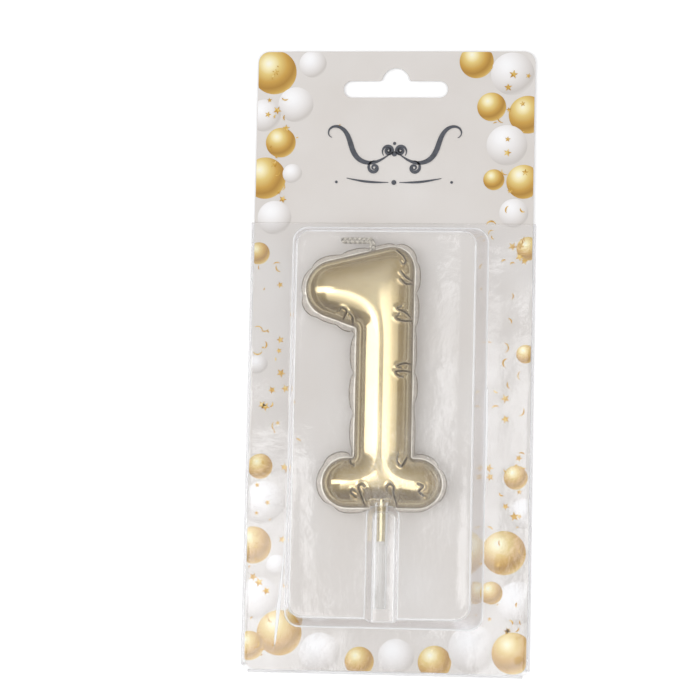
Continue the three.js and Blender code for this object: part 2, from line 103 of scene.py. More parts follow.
class BlisterSizes(bpy.types.PropertyGroup):
    """Sizes of the clear sheet with its bubble, groove and folded rails."""

    sheet: length("Sheet", "Thickness of the clear sheet", 0.3)
    bubble_width: length("Bubble width", "Width of the bubble at its foot", 59.3)
    bubble_length: length("Bubble length", "Length of the bubble at its foot", 120.8)
    bubble_shift: FloatProperty(
        name="Bubble shift", description="Bubble's middle to the right of the card's middle",
        default=-0.6 * MM, subtype="DISTANCE", unit="LENGTH", precision=4,
    )
    bottom_margin: length("Bottom margin", "Card's bottom edge to the bubble's foot", 13.1)
    depth: length("Bubble depth", "Bubble's face above the flange", 15)
    draft: angle("Draft", "Lean of the bubble's walls", 10)
    corner: length("Corner radius", "Bubble's corners seen from the front", 4.4)
    edge: length("Edge radius", "Rounding between wall and face", 0.7)
    foot: length("Foot radius", "Rounding between flange and wall", 0.4)
    groove_width: length("Groove width", "Width of the pinched groove at its floor", 6.8)
    groove_floor: length("Groove floor", "Groove's floor above the underside", 10.6)
    groove_end: length("Groove end", "Groove's closed end above the card's bottom edge", 47.6)
    groove_draft: angle("Groove draft", "Lean of the groove's walls", 12)
    lip: length("Lip", "Width of the lips folded behind the card", 7)


class NumeralSizes(bpy.types.PropertyGroup):
    """Sizes of the puffed wax numeral."""

    height: length("Height", "Numeral's height from its foot's underside", 78.5)
    thickness: length("Thickness", "Front to back at the thickest place", 13)
    puff: length("Puff", "How far the rounded edge reaches in", 6.4)
    stem_width: length("Stem width", "Width of the upright stem", 17.1)
    foot_width: length("Foot width", "Width of the foot", 35.9)
    foot_height: length("Foot height", "Height of the foot", 14.7)
    flag_reach: length("Flag reach", "Stem's middle to the flag's tip", 24.1)
    flag_top: angle("Flag top", "Slope of the flag's upper side", 13.6)
    flag_under: angle("Flag underside", "Slope of the flag's underside", 19.1)
    flag_under_drop: length("Flag drop", "Top down to the flag's inner corner", 24.4)
    fullness: FloatProperty(
        name="Fullness", description="How full the puffed face is towards its middle",
        default=2.0, min=1, max=4,
    )
    seam: length("Seam", "Thickness of the seam flash", 0.6)
    flash: length("Flash", "Even part of the seam flash", 0.8)
    socket_width: length("Socket width", "Width of the pick's socket", 7.2)
    socket_height: length("Socket height", "Height of the pick's socket", 2.6)


class WickSizes(bpy.types.PropertyGroup):
    """Sizes of the braided wick."""

    diameter: length("Diameter", "Wick's diameter", 2.0)
    ply: length("Ply", "Diameter of one of the braid's plies", 1.02)
    lay: length("Lay", "Length of one turn of the braid", 4.2)
    gilt: length("Gilt end", "Diameter of the smooth lacquered lower end", 1.6)
    plies: IntProperty(name="Plies", description="Plies in the braid", default=3, min=2, max=8)


class PackColours(bpy.types.PropertyGroup):
    """Middle colours of the pack and the candle. Each material's own shades keep their ratio to it."""

    card: colour("Card", "Printed ground of the card", "dfdad5")
    board: colour("Board", "Bare board on the card's back", "c7c4bd")
    gold_beads: colour("Gold beads", "Gold beads printed on the card", "cc9f45")
    pearl_beads: colour("Pearl beads", "Pearl beads printed on the card", "efecea")
    gold_ink: colour("Gold ink", "Stars and flecks", "d3aa52")
    slate_ink: colour("Slate ink", "Scroll on the card", "4d5059")
    lacquer: colour("Lacquer", "Champagne lacquer of the candle", "e8d7ae")
    wax: colour("Wax", "Wax that the thin flash shows", "efe8dc")
    cotton: colour("Cotton", "Waxed cotton of the wick", "dcd5c8")
    floor: colour("Floor", "Paper floor of the studio", "fbfbfb")


# Materials


def rgba(shade):
    """Colour for a socket or a ramp: an sRGB hex code, a grey level or three linear channels."""
    return (*np.broadcast_to(linear(shade) if isinstance(shade, str) else shade, 3), 1)


def shades(colours, name, stops):
    """A ramp's places and hex codes as linear colours that follow one of the pack's colours.

    Each is multiplied, channel by channel, by how far that colour is from its default.
    """
    default = np.array(colours.bl_rna.properties[name].default_array)
    change = np.array(getattr(colours, name)) / default
    return [(place, np.array(linear(code)) * change) for place, code in stops]


def add(tree, kind, sockets=(), get=0, stops=(), **settings):
    """Adds a node with its settings, links its sockets or sets them, and gives one of its outputs.

    The sockets' values come in their order or by name or number, colours as sRGB hex codes. Stops
    are a ramp's places and shades.
    """
    node = tree.nodes.new("ShaderNode" + kind)
    for name, value in settings.items():
        setattr(node, name, value)
    for name, value in sockets.items() if isinstance(sockets, dict) else enumerate(sockets):
        if isinstance(value, bpy.types.NodeSocket):
            tree.links.new(value, node.inputs[name])
        else:
            node.inputs[name].default_value = rgba(value) if isinstance(value, str) else value
    for place, shade in stops[2:]:
        node.color_ramp.elements.new(place)
    for element, (place, shade) in zip(node.color_ramp.elements if stops else (), stops):
        element.position = place
        element.color = rgba(shade)
    return node.outputs[get] if node.outputs else None


# No pattern's size was measured or looked up. Each scale was set in the render, and the
# size in millimetres written with it is what that scale comes to.
def new_material(name):
    """An empty node material with its tree and the object's own coordinates in it."""
    material = bpy.data.materials.new(name)
    material.use_nodes = True
    tree = material.node_tree
    tree.nodes.clear()
    return material, tree, add(tree, "TexCoord", get="Object")


def either_ray(tree, *kinds):
    """1 for rays of either kind, 0 for all others."""
    rays = add(tree, "LightPath").node.outputs
    return add(tree, "Math", [rays[kind] for kind in kinds], operation="MAXIMUM")


def card_material(colours):
    """Solid bleached board, offset printed and matt varnished on the front, bare and greyer behind.

    The varnish gives a soft even sheen, the board's formation is drawn as faint clouds 36 mm wide,
    and the cut edge shows the paler fibre core. Fibres are finer than a pixel, so they are drawn as
    clumps 0.385 mm wide.
    """
    material, tree, place = new_material("solid_board_offset_printed")
    cloudy = add(tree, "TexNoise", {"Vector": place, "Scale": 1 / (36 * MM), "Detail": 3})
    fibre = add(tree, "TexNoise", {
        "Vector": place, "Scale": 1 / (0.385 * MM), "Detail": 4, "Roughness": 0.7,
    })
    printed = add(tree, "ValToRGB", [cloudy], stops=shades(colours, "card", [
        (0.3, "dbd5cf"), (0.5, "dfdad5"), (0.72, "e4e0dc"),
    ]))
    bare = add(tree, "ValToRGB", [fibre], stops=shades(colours, "board", [(0.3, "bdb9b2"), (0.7, "d1cec8")]))
    height = add(tree, "SeparateXYZ", [place], "Z")
    middle = (card_low[2] + card_high[2]) / 2 * MM
    front = add(tree, "Math", (height, middle), operation="GREATER_THAN")
    upright = add(tree, "SeparateXYZ", [add(tree, "NewGeometry", get="Normal")], "Z")
    lean = add(tree, "Math", [upright], operation="ABSOLUTE")
    flat = add(tree, "Math", (lean, 0.5), operation="GREATER_THAN")
    sides = add(tree, "Mix", {"Factor": front, 6: bare, 7: printed}, 2, data_type="RGBA")
    add(tree, "OutputMaterial", [add(tree, "BsdfPrincipled", {
        "Base Color": add(tree, "Mix", {"Factor": flat, 6: "e6e3dd", 7: sides}, 2, data_type="RGBA"),
        "Roughness": add(tree, "MapRange", (front, 0, 1, 0.85, 0.42)),
        "Normal": add(tree, "Bump", {"Height": fibre, "Strength": 0.12, "Distance": 0.00003}),
        "IOR": 1.5,
    })])
    return material


def bead_material(name, stops):
    """A round bead printed in a soft gradient from its highlight to its shaded rim.

    The gradient is uneven over patches of about 17 mm, so that no two beads are alike.
    """
    material, tree, place = new_material(name)
    spot = add(tree, "UVMap", uv_map="UVMap")
    from_light = add(tree, "VectorMath", (spot, (0.36, 0.7, 0)), operation="SUBTRACT")
    away = add(tree, "VectorMath", [from_light], "Value", operation="LENGTH")
    cloudy = add(tree, "TexNoise", {"Vector": place, "Scale": 1 / (16.7 * MM), "Detail": 2})
    uneven = add(tree, "Math", (cloudy, 0.22, -0.11), operation="MULTIPLY_ADD")
    base = add(tree, "ValToRGB", [add(tree, "Math", (away, uneven), operation="ADD")], stops=stops)
    add(tree, "OutputMaterial", [add(tree, "BsdfPrincipled", {"Base Color": base, "Roughness": 0.4})])
    return material


def ink_material(name, patch, detail, stops, roughness, metallic=0.0):
    """Printing ink with a slightly uneven lay, in patches of the given width in millimetres."""
    material, tree, place = new_material(name)
    lay = add(tree, "TexNoise", {"Vector": place, "Scale": 1 / (patch * MM), "Detail": detail})
    add(tree, "OutputMaterial", [add(tree, "BsdfPrincipled", {
        "Base Color": add(tree, "ValToRGB", [lay], stops=stops),
        "Roughness": roughness, "Metallic": metallic,
    })])
    return material


def white_streak(tree, place, start, end, widths):
    """White line along the sheet, between two places in metres. One of them stands for a glint and is a
    painted highlight.

    The widths are stops along the line with half its breadth in millimetres.
    """
    x, y, _ = add(tree, "SeparateXYZ", [place]).node.outputs
    run = add(tree, "MapRange", (y, start[1], end[1], 0, 1))
    line = add(tree, "MapRange", (run, 0, 1, start[0], end[0]))
    apart = add(tree, "Math", (x, line), operation="SUBTRACT")
    away = add(tree, "Math", [apart], operation="ABSOLUTE")
    half = add(tree, "ValToRGB", [run], stops=widths)
    within = add(tree, "Math", (away, -1 / MM, half), operation="MULTIPLY_ADD")
    return add(tree, "MapRange", (within, 0, 0.15, 0, 1))


def clear_sheet_material():
    """Clear PET sheet, thermoformed: it shows as glare by Fresnel, with slight ripples and haze.

    The ripples are drawn about 9 mm apart and the haze in patches of 18 mm, both given.
    The sheet passes light straight through, so shadows and diffuse light cross it unbent. Where it
    is bent sharply it is drawn white: stress whitening of the plastic, and a painted highlight for the
    glints along its edges. One white line runs down the flange at the lower left, widening and then
    ending in a point, and a second one, a painted highlight for a glint, lies on the flange beside
    the foot of the bubble's right wall.
    """
    material, tree, place = new_material("clear_pet_thermoformed")
    ior = 1.57
    wavy = add(tree, "TexNoise", {
        "Vector": place, "Scale": 1 / (9.1 * MM), "Detail": 5, "Roughness": 0.6,
    })
    ripples = add(tree, "Bump", {"Height": wavy, "Strength": 0.3, "Distance": 0.0004})
    behind = add(tree, "NewGeometry", get="Backfacing")
    index = add(tree, "MapRange", (behind, 0, 1, ior, 1 / ior))
    bounce = add(tree, "Fresnel", {"IOR": index, "Normal": ripples})
    patchy = add(tree, "TexNoise", {
        "Vector": place, "Scale": 1 / (18.2 * MM), "Detail": 6, "Roughness": 0.7,
    })
    haze = add(tree, "MapRange", (patchy, 0.4, 0.75, 0, 0.045))
    unlit = either_ray(tree, "Is Shadow Ray", "Is Diffuse Ray")
    seen = add(tree, "Math", (1.0, unlit), operation="SUBTRACT")
    hazy = add(tree, "Math", (bounce, haze), operation="ADD")
    share = add(tree, "Math", (hazy, seen), operation="MULTIPLY")
    facing = add(tree, "LayerWeight", get="Facing")
    passed = add(tree, "ValToRGB", [facing], stops=[(0.35, "fefefe"), (0.8, "fbfafa"), (1.0, "e8e6e8")])
    through = add(tree, "BsdfTransparent", {"Color": passed})
    gloss = add(tree, "BsdfPrincipled", {
        "Base Color": "f9fafd", "Metallic": 1.0, "Roughness": 0.1, "Normal": ripples,
    })
    clear = add(tree, "MixShader", (share, through, gloss))
    # Sharp bends are drawn white: stress whitening, and a painted highlight for the glints along the edges
    bend = add(tree, "Attribute", get="Fac", attribute_name="bend")
    white = add(tree, "Math", (bend, 0.75), operation="MULTIPLY")
    # Two white lines on the flange; the one beside the foot of the right wall is a painted highlight for a
    # glint
    for start, end, widths in (
        ((-0.0302, -0.0488), (-0.0333, -0.0874),
         [(0.0, 0.0), (0.04, 0.15), (0.35, 0.25), (0.7, 0.6), (0.93, 0.35), (1.0, 0.0)]),
        ((0.0295, -0.0075), (0.0294, -0.0415),
         [(0.0, 0.0), (0.05, 0.25), (0.35, 0.4), (0.75, 0.4), (0.85, 0.15), (1.0, 0.0)]),
    ):
        line = white_streak(tree, place, start, end, widths)
        white = add(tree, "Math", (white, line), operation="MAXIMUM")
    stress_white_and_glint = add(tree, "BsdfDiffuse", {"Color": "fafafa"})
    whitened = add(tree, "Math", (white, seen), operation="MULTIPLY")
    add(tree, "OutputMaterial", [add(tree, "MixShader", (whitened, clear, stress_white_and_glint))])
    return material


def gold_lacquer_material(colours):
    """Champagne metallic lacquer sprayed on moulded wax.

    The flake gives a satin mirror with a fine sparkle, drawn in grains of 0.667 mm because real
    flake is finer than a pixel, and the spray's thickness drifts over 11 mm. Where the flash is
    thinnest the spray is light and the translucent wax shows through. Creases and a band along the
    seam are darkened towards dark brown and lose metal: painted shade.
    """
    material, tree, place = new_material("champagne_lacquer_on_wax")
    drift = add(tree, "TexNoise", {"Vector": place, "Scale": 1 / (11.1 * MM), "Detail": 3})
    flake = add(tree, "TexNoise", {"Vector": place, "Scale": 1 / (0.667 * MM), "Detail": 2})
    # fold gives the painted shade in the creases and along the seam
    fold, flash = (add(tree, "Attribute", get="Fac", attribute_name=name) for name in ("fold", "flash"))
    root = add(tree, "MapRange", (flash, 0.01, 0.1, 0, 1))
    tint = add(tree, "ValToRGB", [drift], stops=shades(colours, "lacquer", [
        (0.3, "e4d1a7"), (0.7, "ecdcb4"),
    ]))
    wax = add(tree, "ValToRGB", [flash], stops=shades(colours, "wax", [
        (0.1, "fbf6ec"), (0.45, "efe8dc"), (0.8, "cfc6b6"), (0.97, "6f6553"),
    ]))
    # Painted shade: the tint darkens towards dark brown in the creases and along the seam, and the metal
    # drops there
    folded = add(tree, "Mix", {"Factor": fold, 6: tint, 7: "54401f"}, 2, data_type="RGBA")
    shaded_metal = add(tree, "Math", (fold, -0.6, 1.0), operation="MULTIPLY_ADD")
    lacquer = add(tree, "BsdfPrincipled", {
        "Base Color": add(tree, "Mix", {"Factor": root, 6: folded, 7: wax}, 2, data_type="RGBA"),
        "Metallic": add(tree, "MapRange", (root, 0, 1, shaded_metal, 0.2)),
        "Roughness": add(tree, "MapRange", (drift, 0.3, 0.7, 0.1, 0.15)),
        "Normal": add(tree, "Bump", {"Height": flake, "Strength": 0.06, "Distance": 0.0001}),
    })
    thin = add(tree, "ValToRGB", [flash], stops=[(0.2, 0.0), (0.36, 0.84), (0.84, 0.84), (0.95, 0.1)])
    through = add(tree, "BsdfTransparent", {"Color": "fcfaf8"})
    add(tree, "OutputMaterial", [add(tree, "MixShader", (thin, lacquer, through))])
    return material


def cotton_material(colours):
    """Waxed cotton braid: matt yarn with a waxy sheen, lacquered gold at its lower end, and darkened where
    the plies crowd towards the braid's middle, as painted shade.

    The yarn's fibres are drawn in strands of 0.417 mm, because real ones are finer than a pixel.
    """
    material, tree, place = new_material("waxed_cotton_braid")
    yarn = add(tree, "TexNoise", {"Vector": place, "Scale": 1 / (0.417 * MM), "Detail": 3})
    deep, gilt = (add(tree, "Attribute", get="Fac", attribute_name=name) for name in ("deep", "gilt"))
    cotton = add(tree, "ValToRGB", [yarn], stops=shades(colours, "cotton", [
        (0.3, "b3aa9c"), (0.55, "dcd5c8"), (0.75, "f6f1e7"),
    ]))
    # Painted shade: the cotton darkens to dark brown deep between the plies
    shaded = add(tree, "Mix", {"Factor": deep, 6: cotton, 7: "352d22"}, 2, data_type="RGBA")
    add(tree, "OutputMaterial", [add(tree, "BsdfPrincipled", {
        "Base Color": add(tree, "Mix", {"Factor": gilt, 6: shaded, 7: "efe2c0"}, 2, data_type="RGBA"),
        "Metallic": gilt, "Roughness": add(tree, "MapRange", (gilt, 0, 1, 0.6, 0.25)),
        "Normal": add(tree, "Bump", {"Height": yarn, "Strength": 0.4, "Distance": 0.0001}),
    })])
    return material


def clear_rod_material():
    """Clear polystyrene rod, injection moulded: glassy, with flow lines drawn 1.1 mm apart along it.

    Its flanks, where they are seen at a slant, are drawn white: a painted highlight that gives a pale line
    along both sides.
    """
    material, tree, place = new_material("clear_polystyrene_moulded")
    drawn = add(tree, "Mapping", {"Vector": place, "Scale": (1, 0.08, 1)})
    flow = add(tree, "TexNoise", {"Vector": drawn, "Scale": 1 / (1.11 * MM), "Detail": 2})
    glassy = add(tree, "BsdfPrincipled", {
        "Normal": add(tree, "Bump", {"Height": flow, "Strength": 0.1, "Distance": 0.00005}),
        "Base Color": "eff0f0", "Roughness": 0.03, "IOR": 1.57, "Transmission Weight": 1.0,
    })
    facing = add(tree, "LayerWeight", get="Facing")
    # Painted highlight: white diffuse on the flanks where the rod is seen at a slant
    side = add(tree, "ValToRGB", [facing], stops=[(0.22, 0.0), (0.36, 0.7), (0.62, 0.7), (0.85, 0.1)])
    flank_glint_white = add(tree, "BsdfDiffuse", {"Color": "fdfdfd"})
    glassy_with_glints = add(tree, "MixShader", (side, glassy, flank_glint_white))
    through = add(tree, "BsdfTransparent", {"Color": "f7f7f7"})
    unlit = either_ray(tree, "Is Shadow Ray", "Is Diffuse Ray")
    add(tree, "OutputMaterial", [add(tree, "MixShader", (unlit, glassy_with_glints, through))])
    return material


def floor_material(colours):
    """Seamless matt paper floor of a photo studio, lifted a little where it is looked at.

    Its tone is uneven over patches of 2.5 mm.
    """
    material, tree, place = new_material("studio_paper_floor")
    looked_at = either_ray(tree, "Is Camera Ray", "Is Transmission Ray")
    grain = add(tree, "TexNoise", {"Vector": place, "Scale": 1 / (2.5 * MM), "Detail": 3})
    paper = add(tree, "ValToRGB", [grain], stops=shades(colours, "floor", [(0.3, "f9f9f9"), (0.7, "fcfcfc")]))
    add(tree, "OutputMaterial", [add(tree, "BsdfPrincipled", {
        "Base Color": paper, "Roughness": 0.9, "Specular IOR Level": 0.1, "Emission Color": "ffffff",
        "Emission Strength": add(tree, "Math", (looked_at, 0.17), operation="MULTIPLY"),
    })])
    return material


# Meshes


def new_piece(name, points, faces, material):
    """A smooth mesh object from points in millimetres and a list of face arrays of equal corners."""
    points = np.asarray(points, float)
    used, place = np.unique(np.concatenate([group.ravel() for group in faces]), return_inverse=True)
    counts = np.concatenate([np.full(len(group), group.shape[1]) for group in faces])
    mesh = bpy.data.meshes.new(name)
    mesh.vertices.add(len(used))
    mesh.vertices.foreach_set("co", (points[used] * MM).ravel())
    mesh.loops.add(len(place))
    mesh.loops.foreach_set("vertex_index", place.astype(np.int32))
    mesh.polygons.add(len(counts))
    mesh.polygons.foreach_set("loop_start", np.concatenate([[0], np.cumsum(counts)[:-1]]).astype(np.int32))
    mesh.update(calc_edges=True)
    mesh.shade_smooth()
    mesh.materials.append(material)
    piece = bpy.data.objects.new(name, mesh)
    bpy.context.scene.collection.objects.link(piece)
    return piece, used


def set_value(piece, name, values):
    """A number for each vertex, read by an Attribute node."""
    data = piece.data.attributes.new(name, "FLOAT", "POINT").data
    data.foreach_set("value", np.asarray(values, np.float32))


def grid_faces(rows, columns, wrap=False):
    """Corner numbers of the four-sided faces between grid points, wrapped round along a row if asked."""
    across = columns if wrap else columns - 1
    row, column = np.meshgrid(np.arange(rows - 1), np.arange(across), indexing="ij")
    here = row * columns + column
    beside = row * columns + (column + 1) % columns
    return np.stack([here, beside, beside + columns, here + columns], axis=-1).reshape(-1, 4)


def directions(path):
    """Unit vectors along an open path at its points."""
    along = np.gradient(path, axis=0)
    return along / np.linalg.norm(along, axis=1, keepdims=True)


def round_turns(count):
    """Evenly spaced angles of a whole turn."""
    return np.arange(count) / count * 2 * math.pi


def smooth_min(a, b, width):
    """Lower of two heights, rounded where they meet within the given width."""
    near = np.clip(width - np.abs(a - b), 0, None) / width
    return np.minimum(a, b) - near ** 2 * width / 4


def waves(x, y, seed, lengths, height):
    """Sum of plane waves of random direction and phase, from 0 down to minus the given height."""
    random = np.random.default_rng(seed)
    total = np.zeros_like(x)
    for wave in lengths:
        turn, phase = random.uniform(0, 2 * math.pi, 2)
        total += np.sin(2 * math.pi / wave * (x * math.cos(turn) + y * math.sin(turn)) + phase)
    return (total / len(lengths) - 1) * height / 2


# Blister


def spaced(*stops):
    """Numbers through the given (end, step) pairs, each stretch divided evenly by about its step."""
    (start, _), *rest = stops
    numbers = [np.array([start])]
    for end, step in rest:
        count = max(1, round(abs(end - start) / step))
        numbers.append(np.linspace(start, end, count + 1)[1:])
        start = end
    return np.concatenate(numbers)


def bubble_wall(sizes):
    """Inset from the bubble's foot and level above the underside, from the flange up to the face.

    A hollow quarter round at the foot, the wall leaning in by the draft, and a round edge at the top.
    """
    flange = blister_high[2] - sizes.depth / MM
    foot, edge, draft = sizes.foot / MM, sizes.edge / MM, sizes.draft
    foot_level = flange + foot
    foot_inset = math.tan(draft) * foot - foot / math.cos(draft)
    edge_level = blister_high[2] - edge
    edge_inset = math.tan(draft) * (edge_level - flange) + edge / math.cos(draft)
    low = np.linspace(math.pi / 2, draft, 7)
    high = np.linspace(draft, math.pi / 2, 11)
    share = np.linspace(0, 1, 8)[1:-1]
    profiles = []
    for below, above in (
        (foot_inset + foot * np.cos(low), edge_inset - edge * np.cos(high)),
        (foot_level - foot * np.sin(low), edge_level + edge * np.sin(high)),
    ):
        profiles.append(np.concatenate([below, below[-1] + (above[0] - below[-1]) * share, above]))
    return profiles


def blister_sheet(sizes):
    """Outer skin of the blister as one grid of points, with the faces that the sheet has.

    The third result is how sharply the sheet is bent at each point.

    Lines run straight across the flange and the plateau, and bend to round rectangles on the
    bubble's walls. The height is the wall's profile over the inset, lowered smoothly to the
    groove's floor and walls. Past the card's edges the lines follow the folded rails.
    """
    inset, level = bubble_wall(sizes)
    flange, foot_inset, face_inset = level[0], inset[0], inset[-1]
    half_width = sizes.bubble_width / MM / 2
    half_length = sizes.bubble_length / MM / 2
    shift = sizes.bubble_shift / MM
    bottom = card_low[1]
    middle = bottom + sizes.bottom_margin / MM + half_length
    bend = flange / 2
    side = blister_high[0] - bend
    fold = bottom - 0.1
    lip = sizes.lip / MM
    floor_half = sizes.groove_width / MM / 2
    groove_end = bottom + sizes.groove_end / MM
    # The sheet is cut back at its corners, at the folds and further at the lips
    trim = 1.2
    trim_x = card_high[0] - trim
    lip_trim_x = trim_x - lip
    # Lines within the lips, and within lips and bends, and the step across a groove's wall
    lip_lines, fold_lines, fine = 4, 12, 0.16

    # Lines across: lip and bend, flange, wall, plateau with the groove, wall, flange, bend and lip
    turn = np.linspace(0, math.pi, fold_lines - lip_lines + 1)[1:]
    wall_left, wall_right = -half_width + inset + shift, half_width - inset[::-1] + shift
    plateau = spaced(
        (wall_left[-1], 1), (-5.8, 1.4), (-2.7, fine), (2.7, 0.9), (5.8, fine), (wall_right[0], 1.4),
    )
    main_x = np.concatenate([
        spaced((-side, 1), (-trim_x, 1), (-lip_trim_x, 2), (wall_left[0], 1.2))[:-1],
        wall_left[:-1], plateau, wall_right[1:],
        spaced((wall_right[-1], 1), (lip_trim_x, 1.2), (trim_x, 2), (side, 1))[1:],
    ])
    lip_x = np.linspace(side, card_high[0] - lip, lip_lines + 1)[1:]
    right_x = np.concatenate([side + bend * np.sin(turn), lip_x])
    x = np.concatenate([-right_x[::-1], main_x, right_x])
    rail_z = np.concatenate([bend + bend * np.cos(turn), np.zeros(lip_lines)])
    fold_z = np.concatenate([rail_z[::-1], np.full(len(main_x), flange), rail_z])

    # Lines along: bottom lip and bend, flange, wall, plateau, wall, flange
    wall_low, wall_high = middle - half_length + inset, middle + half_length - inset[::-1]
    rise = spaced((wall_low[-1], 1), (groove_end - 1.6, 1.3), (groove_end + 2.2, fine), (wall_high[0], 1.4))
    main_y = np.concatenate([
        spaced((fold, 1), (bottom + trim, 0.7), (wall_low[0], 1.2))[:-1],
        wall_low[:-1], rise, wall_high[1:],
        spaced((wall_high[-1], 1), (blister_high[1], 0.4))[1:],
    ])
    lip_y = np.linspace(fold, bottom + lip, lip_lines + 1)[1:]
    low_y = np.concatenate([fold - bend * np.sin(turn), lip_y])
    y = np.concatenate([low_y[::-1], main_y])
    end_z = np.concatenate([rail_z[::-1], np.full(len(main_y), flange)])

    grid_x, grid_y = np.meshgrid(x, y)
    across = np.abs(grid_x - shift)
    along = np.abs(grid_y - middle)
    depth = np.minimum(half_width - across, half_length - along)

    # Corner radius by inset, fading to straight lines at the flange's border and inside the plateau
    outside = np.where(grid_y > middle, blister_high[1] - middle - half_length, 5)
    spread = np.clip((depth + outside) / (outside + foot_inset), 0, 1)
    inside = np.clip(1 - (depth - face_inset) / 8, 0, 1)
    radius = sizes.corner / MM * spread * inside
    corner_x = across - (half_width - depth - radius)
    corner_y = along - (half_length - depth - radius)
    corner = (corner_x > 0) & (corner_y > 0) & (radius > 0.01)
    shorter, longer = np.minimum(corner_x, corner_y), np.maximum(corner_x, corner_y)
    turned = shorter / np.maximum(longer, 1e-9) * math.pi / 4
    direction = np.where(corner_x > corner_y, turned, math.pi / 2 - turned)
    round_x = half_width - depth - radius + radius * np.cos(direction)
    round_y = half_length - depth - radius + radius * np.sin(direction)
    points_x = np.where(corner, shift + np.sign(grid_x - shift) * round_x, grid_x)
    points_y = np.where(corner, middle + np.sign(grid_y - middle) * round_y, grid_y)

    # Height: profile over the inset, slack of the sheet, then the groove
    profile = np.interp(depth, inset, level)
    plateau_share = np.clip((depth - face_inset + 0.8) / 4, 0, 1)
    flange_share = np.clip((foot_inset - depth) / 3, 0, 1)
    slack, flange_slack = 0.5, 0.2
    height = profile + plateau_share * waves(points_x, points_y, 542, (28, 36, 48, 64), slack)
    height += flange_share * waves(points_x, points_y, 5, (14, 19, 27, 40), flange_slack)
    # Distance from the groove's floor, whose end has round corners
    rounding = 1.6
    beside = np.abs(points_x) - floor_half + rounding
    beyond = points_y - groove_end + rounding
    outward = np.hypot(np.maximum(beside, 0), np.maximum(beyond, 0))
    outward += np.minimum(np.maximum(beside, beyond), 0) - rounding
    wall = 0.5 * (outward + np.sqrt(outward ** 2 + 0.03)) / math.tan(sizes.groove_draft)
    height = smooth_min(height, sizes.groove_floor / MM + wall, 0.7)
    height = np.maximum(height, np.minimum(flange, profile) - flange_slack)

    row, column = np.indices(grid_x.shape)
    z = np.where(np.minimum(column, len(x) - 1 - column) < fold_lines, fold_z, height)
    z = np.where(row < fold_lines, end_z[:, None], z)

    row, column = np.indices((len(y) - 1, len(x) - 1))
    from_middle = np.abs(x[:-1] + np.diff(x) / 2)
    low = (y[:-1] + np.diff(y) / 2 < bottom + trim)[:, None]
    keep = ~((np.minimum(column, len(x) - 2 - column) < fold_lines) & (low | (row < fold_lines)))
    keep &= ~((row < fold_lines) & (from_middle > trim_x))
    keep &= ~((row < lip_lines) & (from_middle > lip_trim_x))
    points = np.stack([points_x, points_y, z], axis=-1)
    at_end = (beyond > -0.6) & (beside < 2.6) & (depth > face_inset)
    bend_share = sharpness(points) * np.where(at_end, 0.25, 1)
    return points.reshape(-1, 3), grid_faces(len(y), len(x))[keep.ravel()], bend_share.ravel()


def sharpness(grid):
    """How sharply a grid of points is bent at each point, from 0 for even to 1 for a hard edge.

    The bend is the turn of the normal for each millimetre along both lines of the grid.
    """
    by_row, by_column = np.gradient(grid, axis=0), np.gradient(grid, axis=1)
    normal = np.cross(by_column, by_row)
    normal /= np.maximum(np.linalg.norm(normal, axis=2, keepdims=True), 1e-9)
    bends = []
    for axis, step in ((0, by_row), (1, by_column)):
        turn = np.linalg.norm(np.gradient(normal, axis=axis), axis=2)
        bends.append(turn / np.maximum(np.linalg.norm(step, axis=2), 1e-3))
    return np.clip((np.hypot(*bends) - 0.85) / 0.9, 0, 1)


# Numeral


def arc(x, y, radius, start, end, count):
    """Points along a circle's arc between two angles."""
    turn = np.linspace(start, end, count)
    return np.stack([x + radius * np.cos(turn), y + radius * np.sin(turn)], axis=-1)


def offset_loop(points, distance):
    """Closed counterclockwise loop moved outwards along its corners' bisectors."""
    before = points - np.roll(points, 1, axis=0)
    before /= np.linalg.norm(before, axis=1, keepdims=True)
    after = np.roll(before, -1, axis=0)
    outward = np.stack([before[:, 1] + after[:, 1], -before[:, 0] - after[:, 0]], axis=-1)
    outward /= np.linalg.norm(outward, axis=1, keepdims=True)
    reach = distance / (outward[:, 0] * before[:, 1] - outward[:, 1] * before[:, 0])
    return points + outward * reach[:, None]


def even_loop(points, step):
    """Closed loop resampled at an even step along its length."""
    closed = np.vstack([points, points[:1]])
    run = np.concatenate([[0], np.cumsum(np.linalg.norm(np.diff(closed, axis=0), axis=1))])
    count = round(run[-1] / step)
    at = np.arange(count) / count * run[-1]
    return np.stack([np.interp(at, run, closed[:, 0]), np.interp(at, run, closed[:, 1])], axis=-1)


def soften(values, width):
    """Values round a closed loop, averaged with a bell of the given width in steps."""
    reach = int(3 * width)
    shifts = np.arange(-reach, reach + 1)
    weights = np.exp(-0.5 * (shifts / width) ** 2)
    weights /= weights.sum()
    return sum(weight * np.roll(values, shift, axis=0) for weight, shift in zip(weights, shifts))


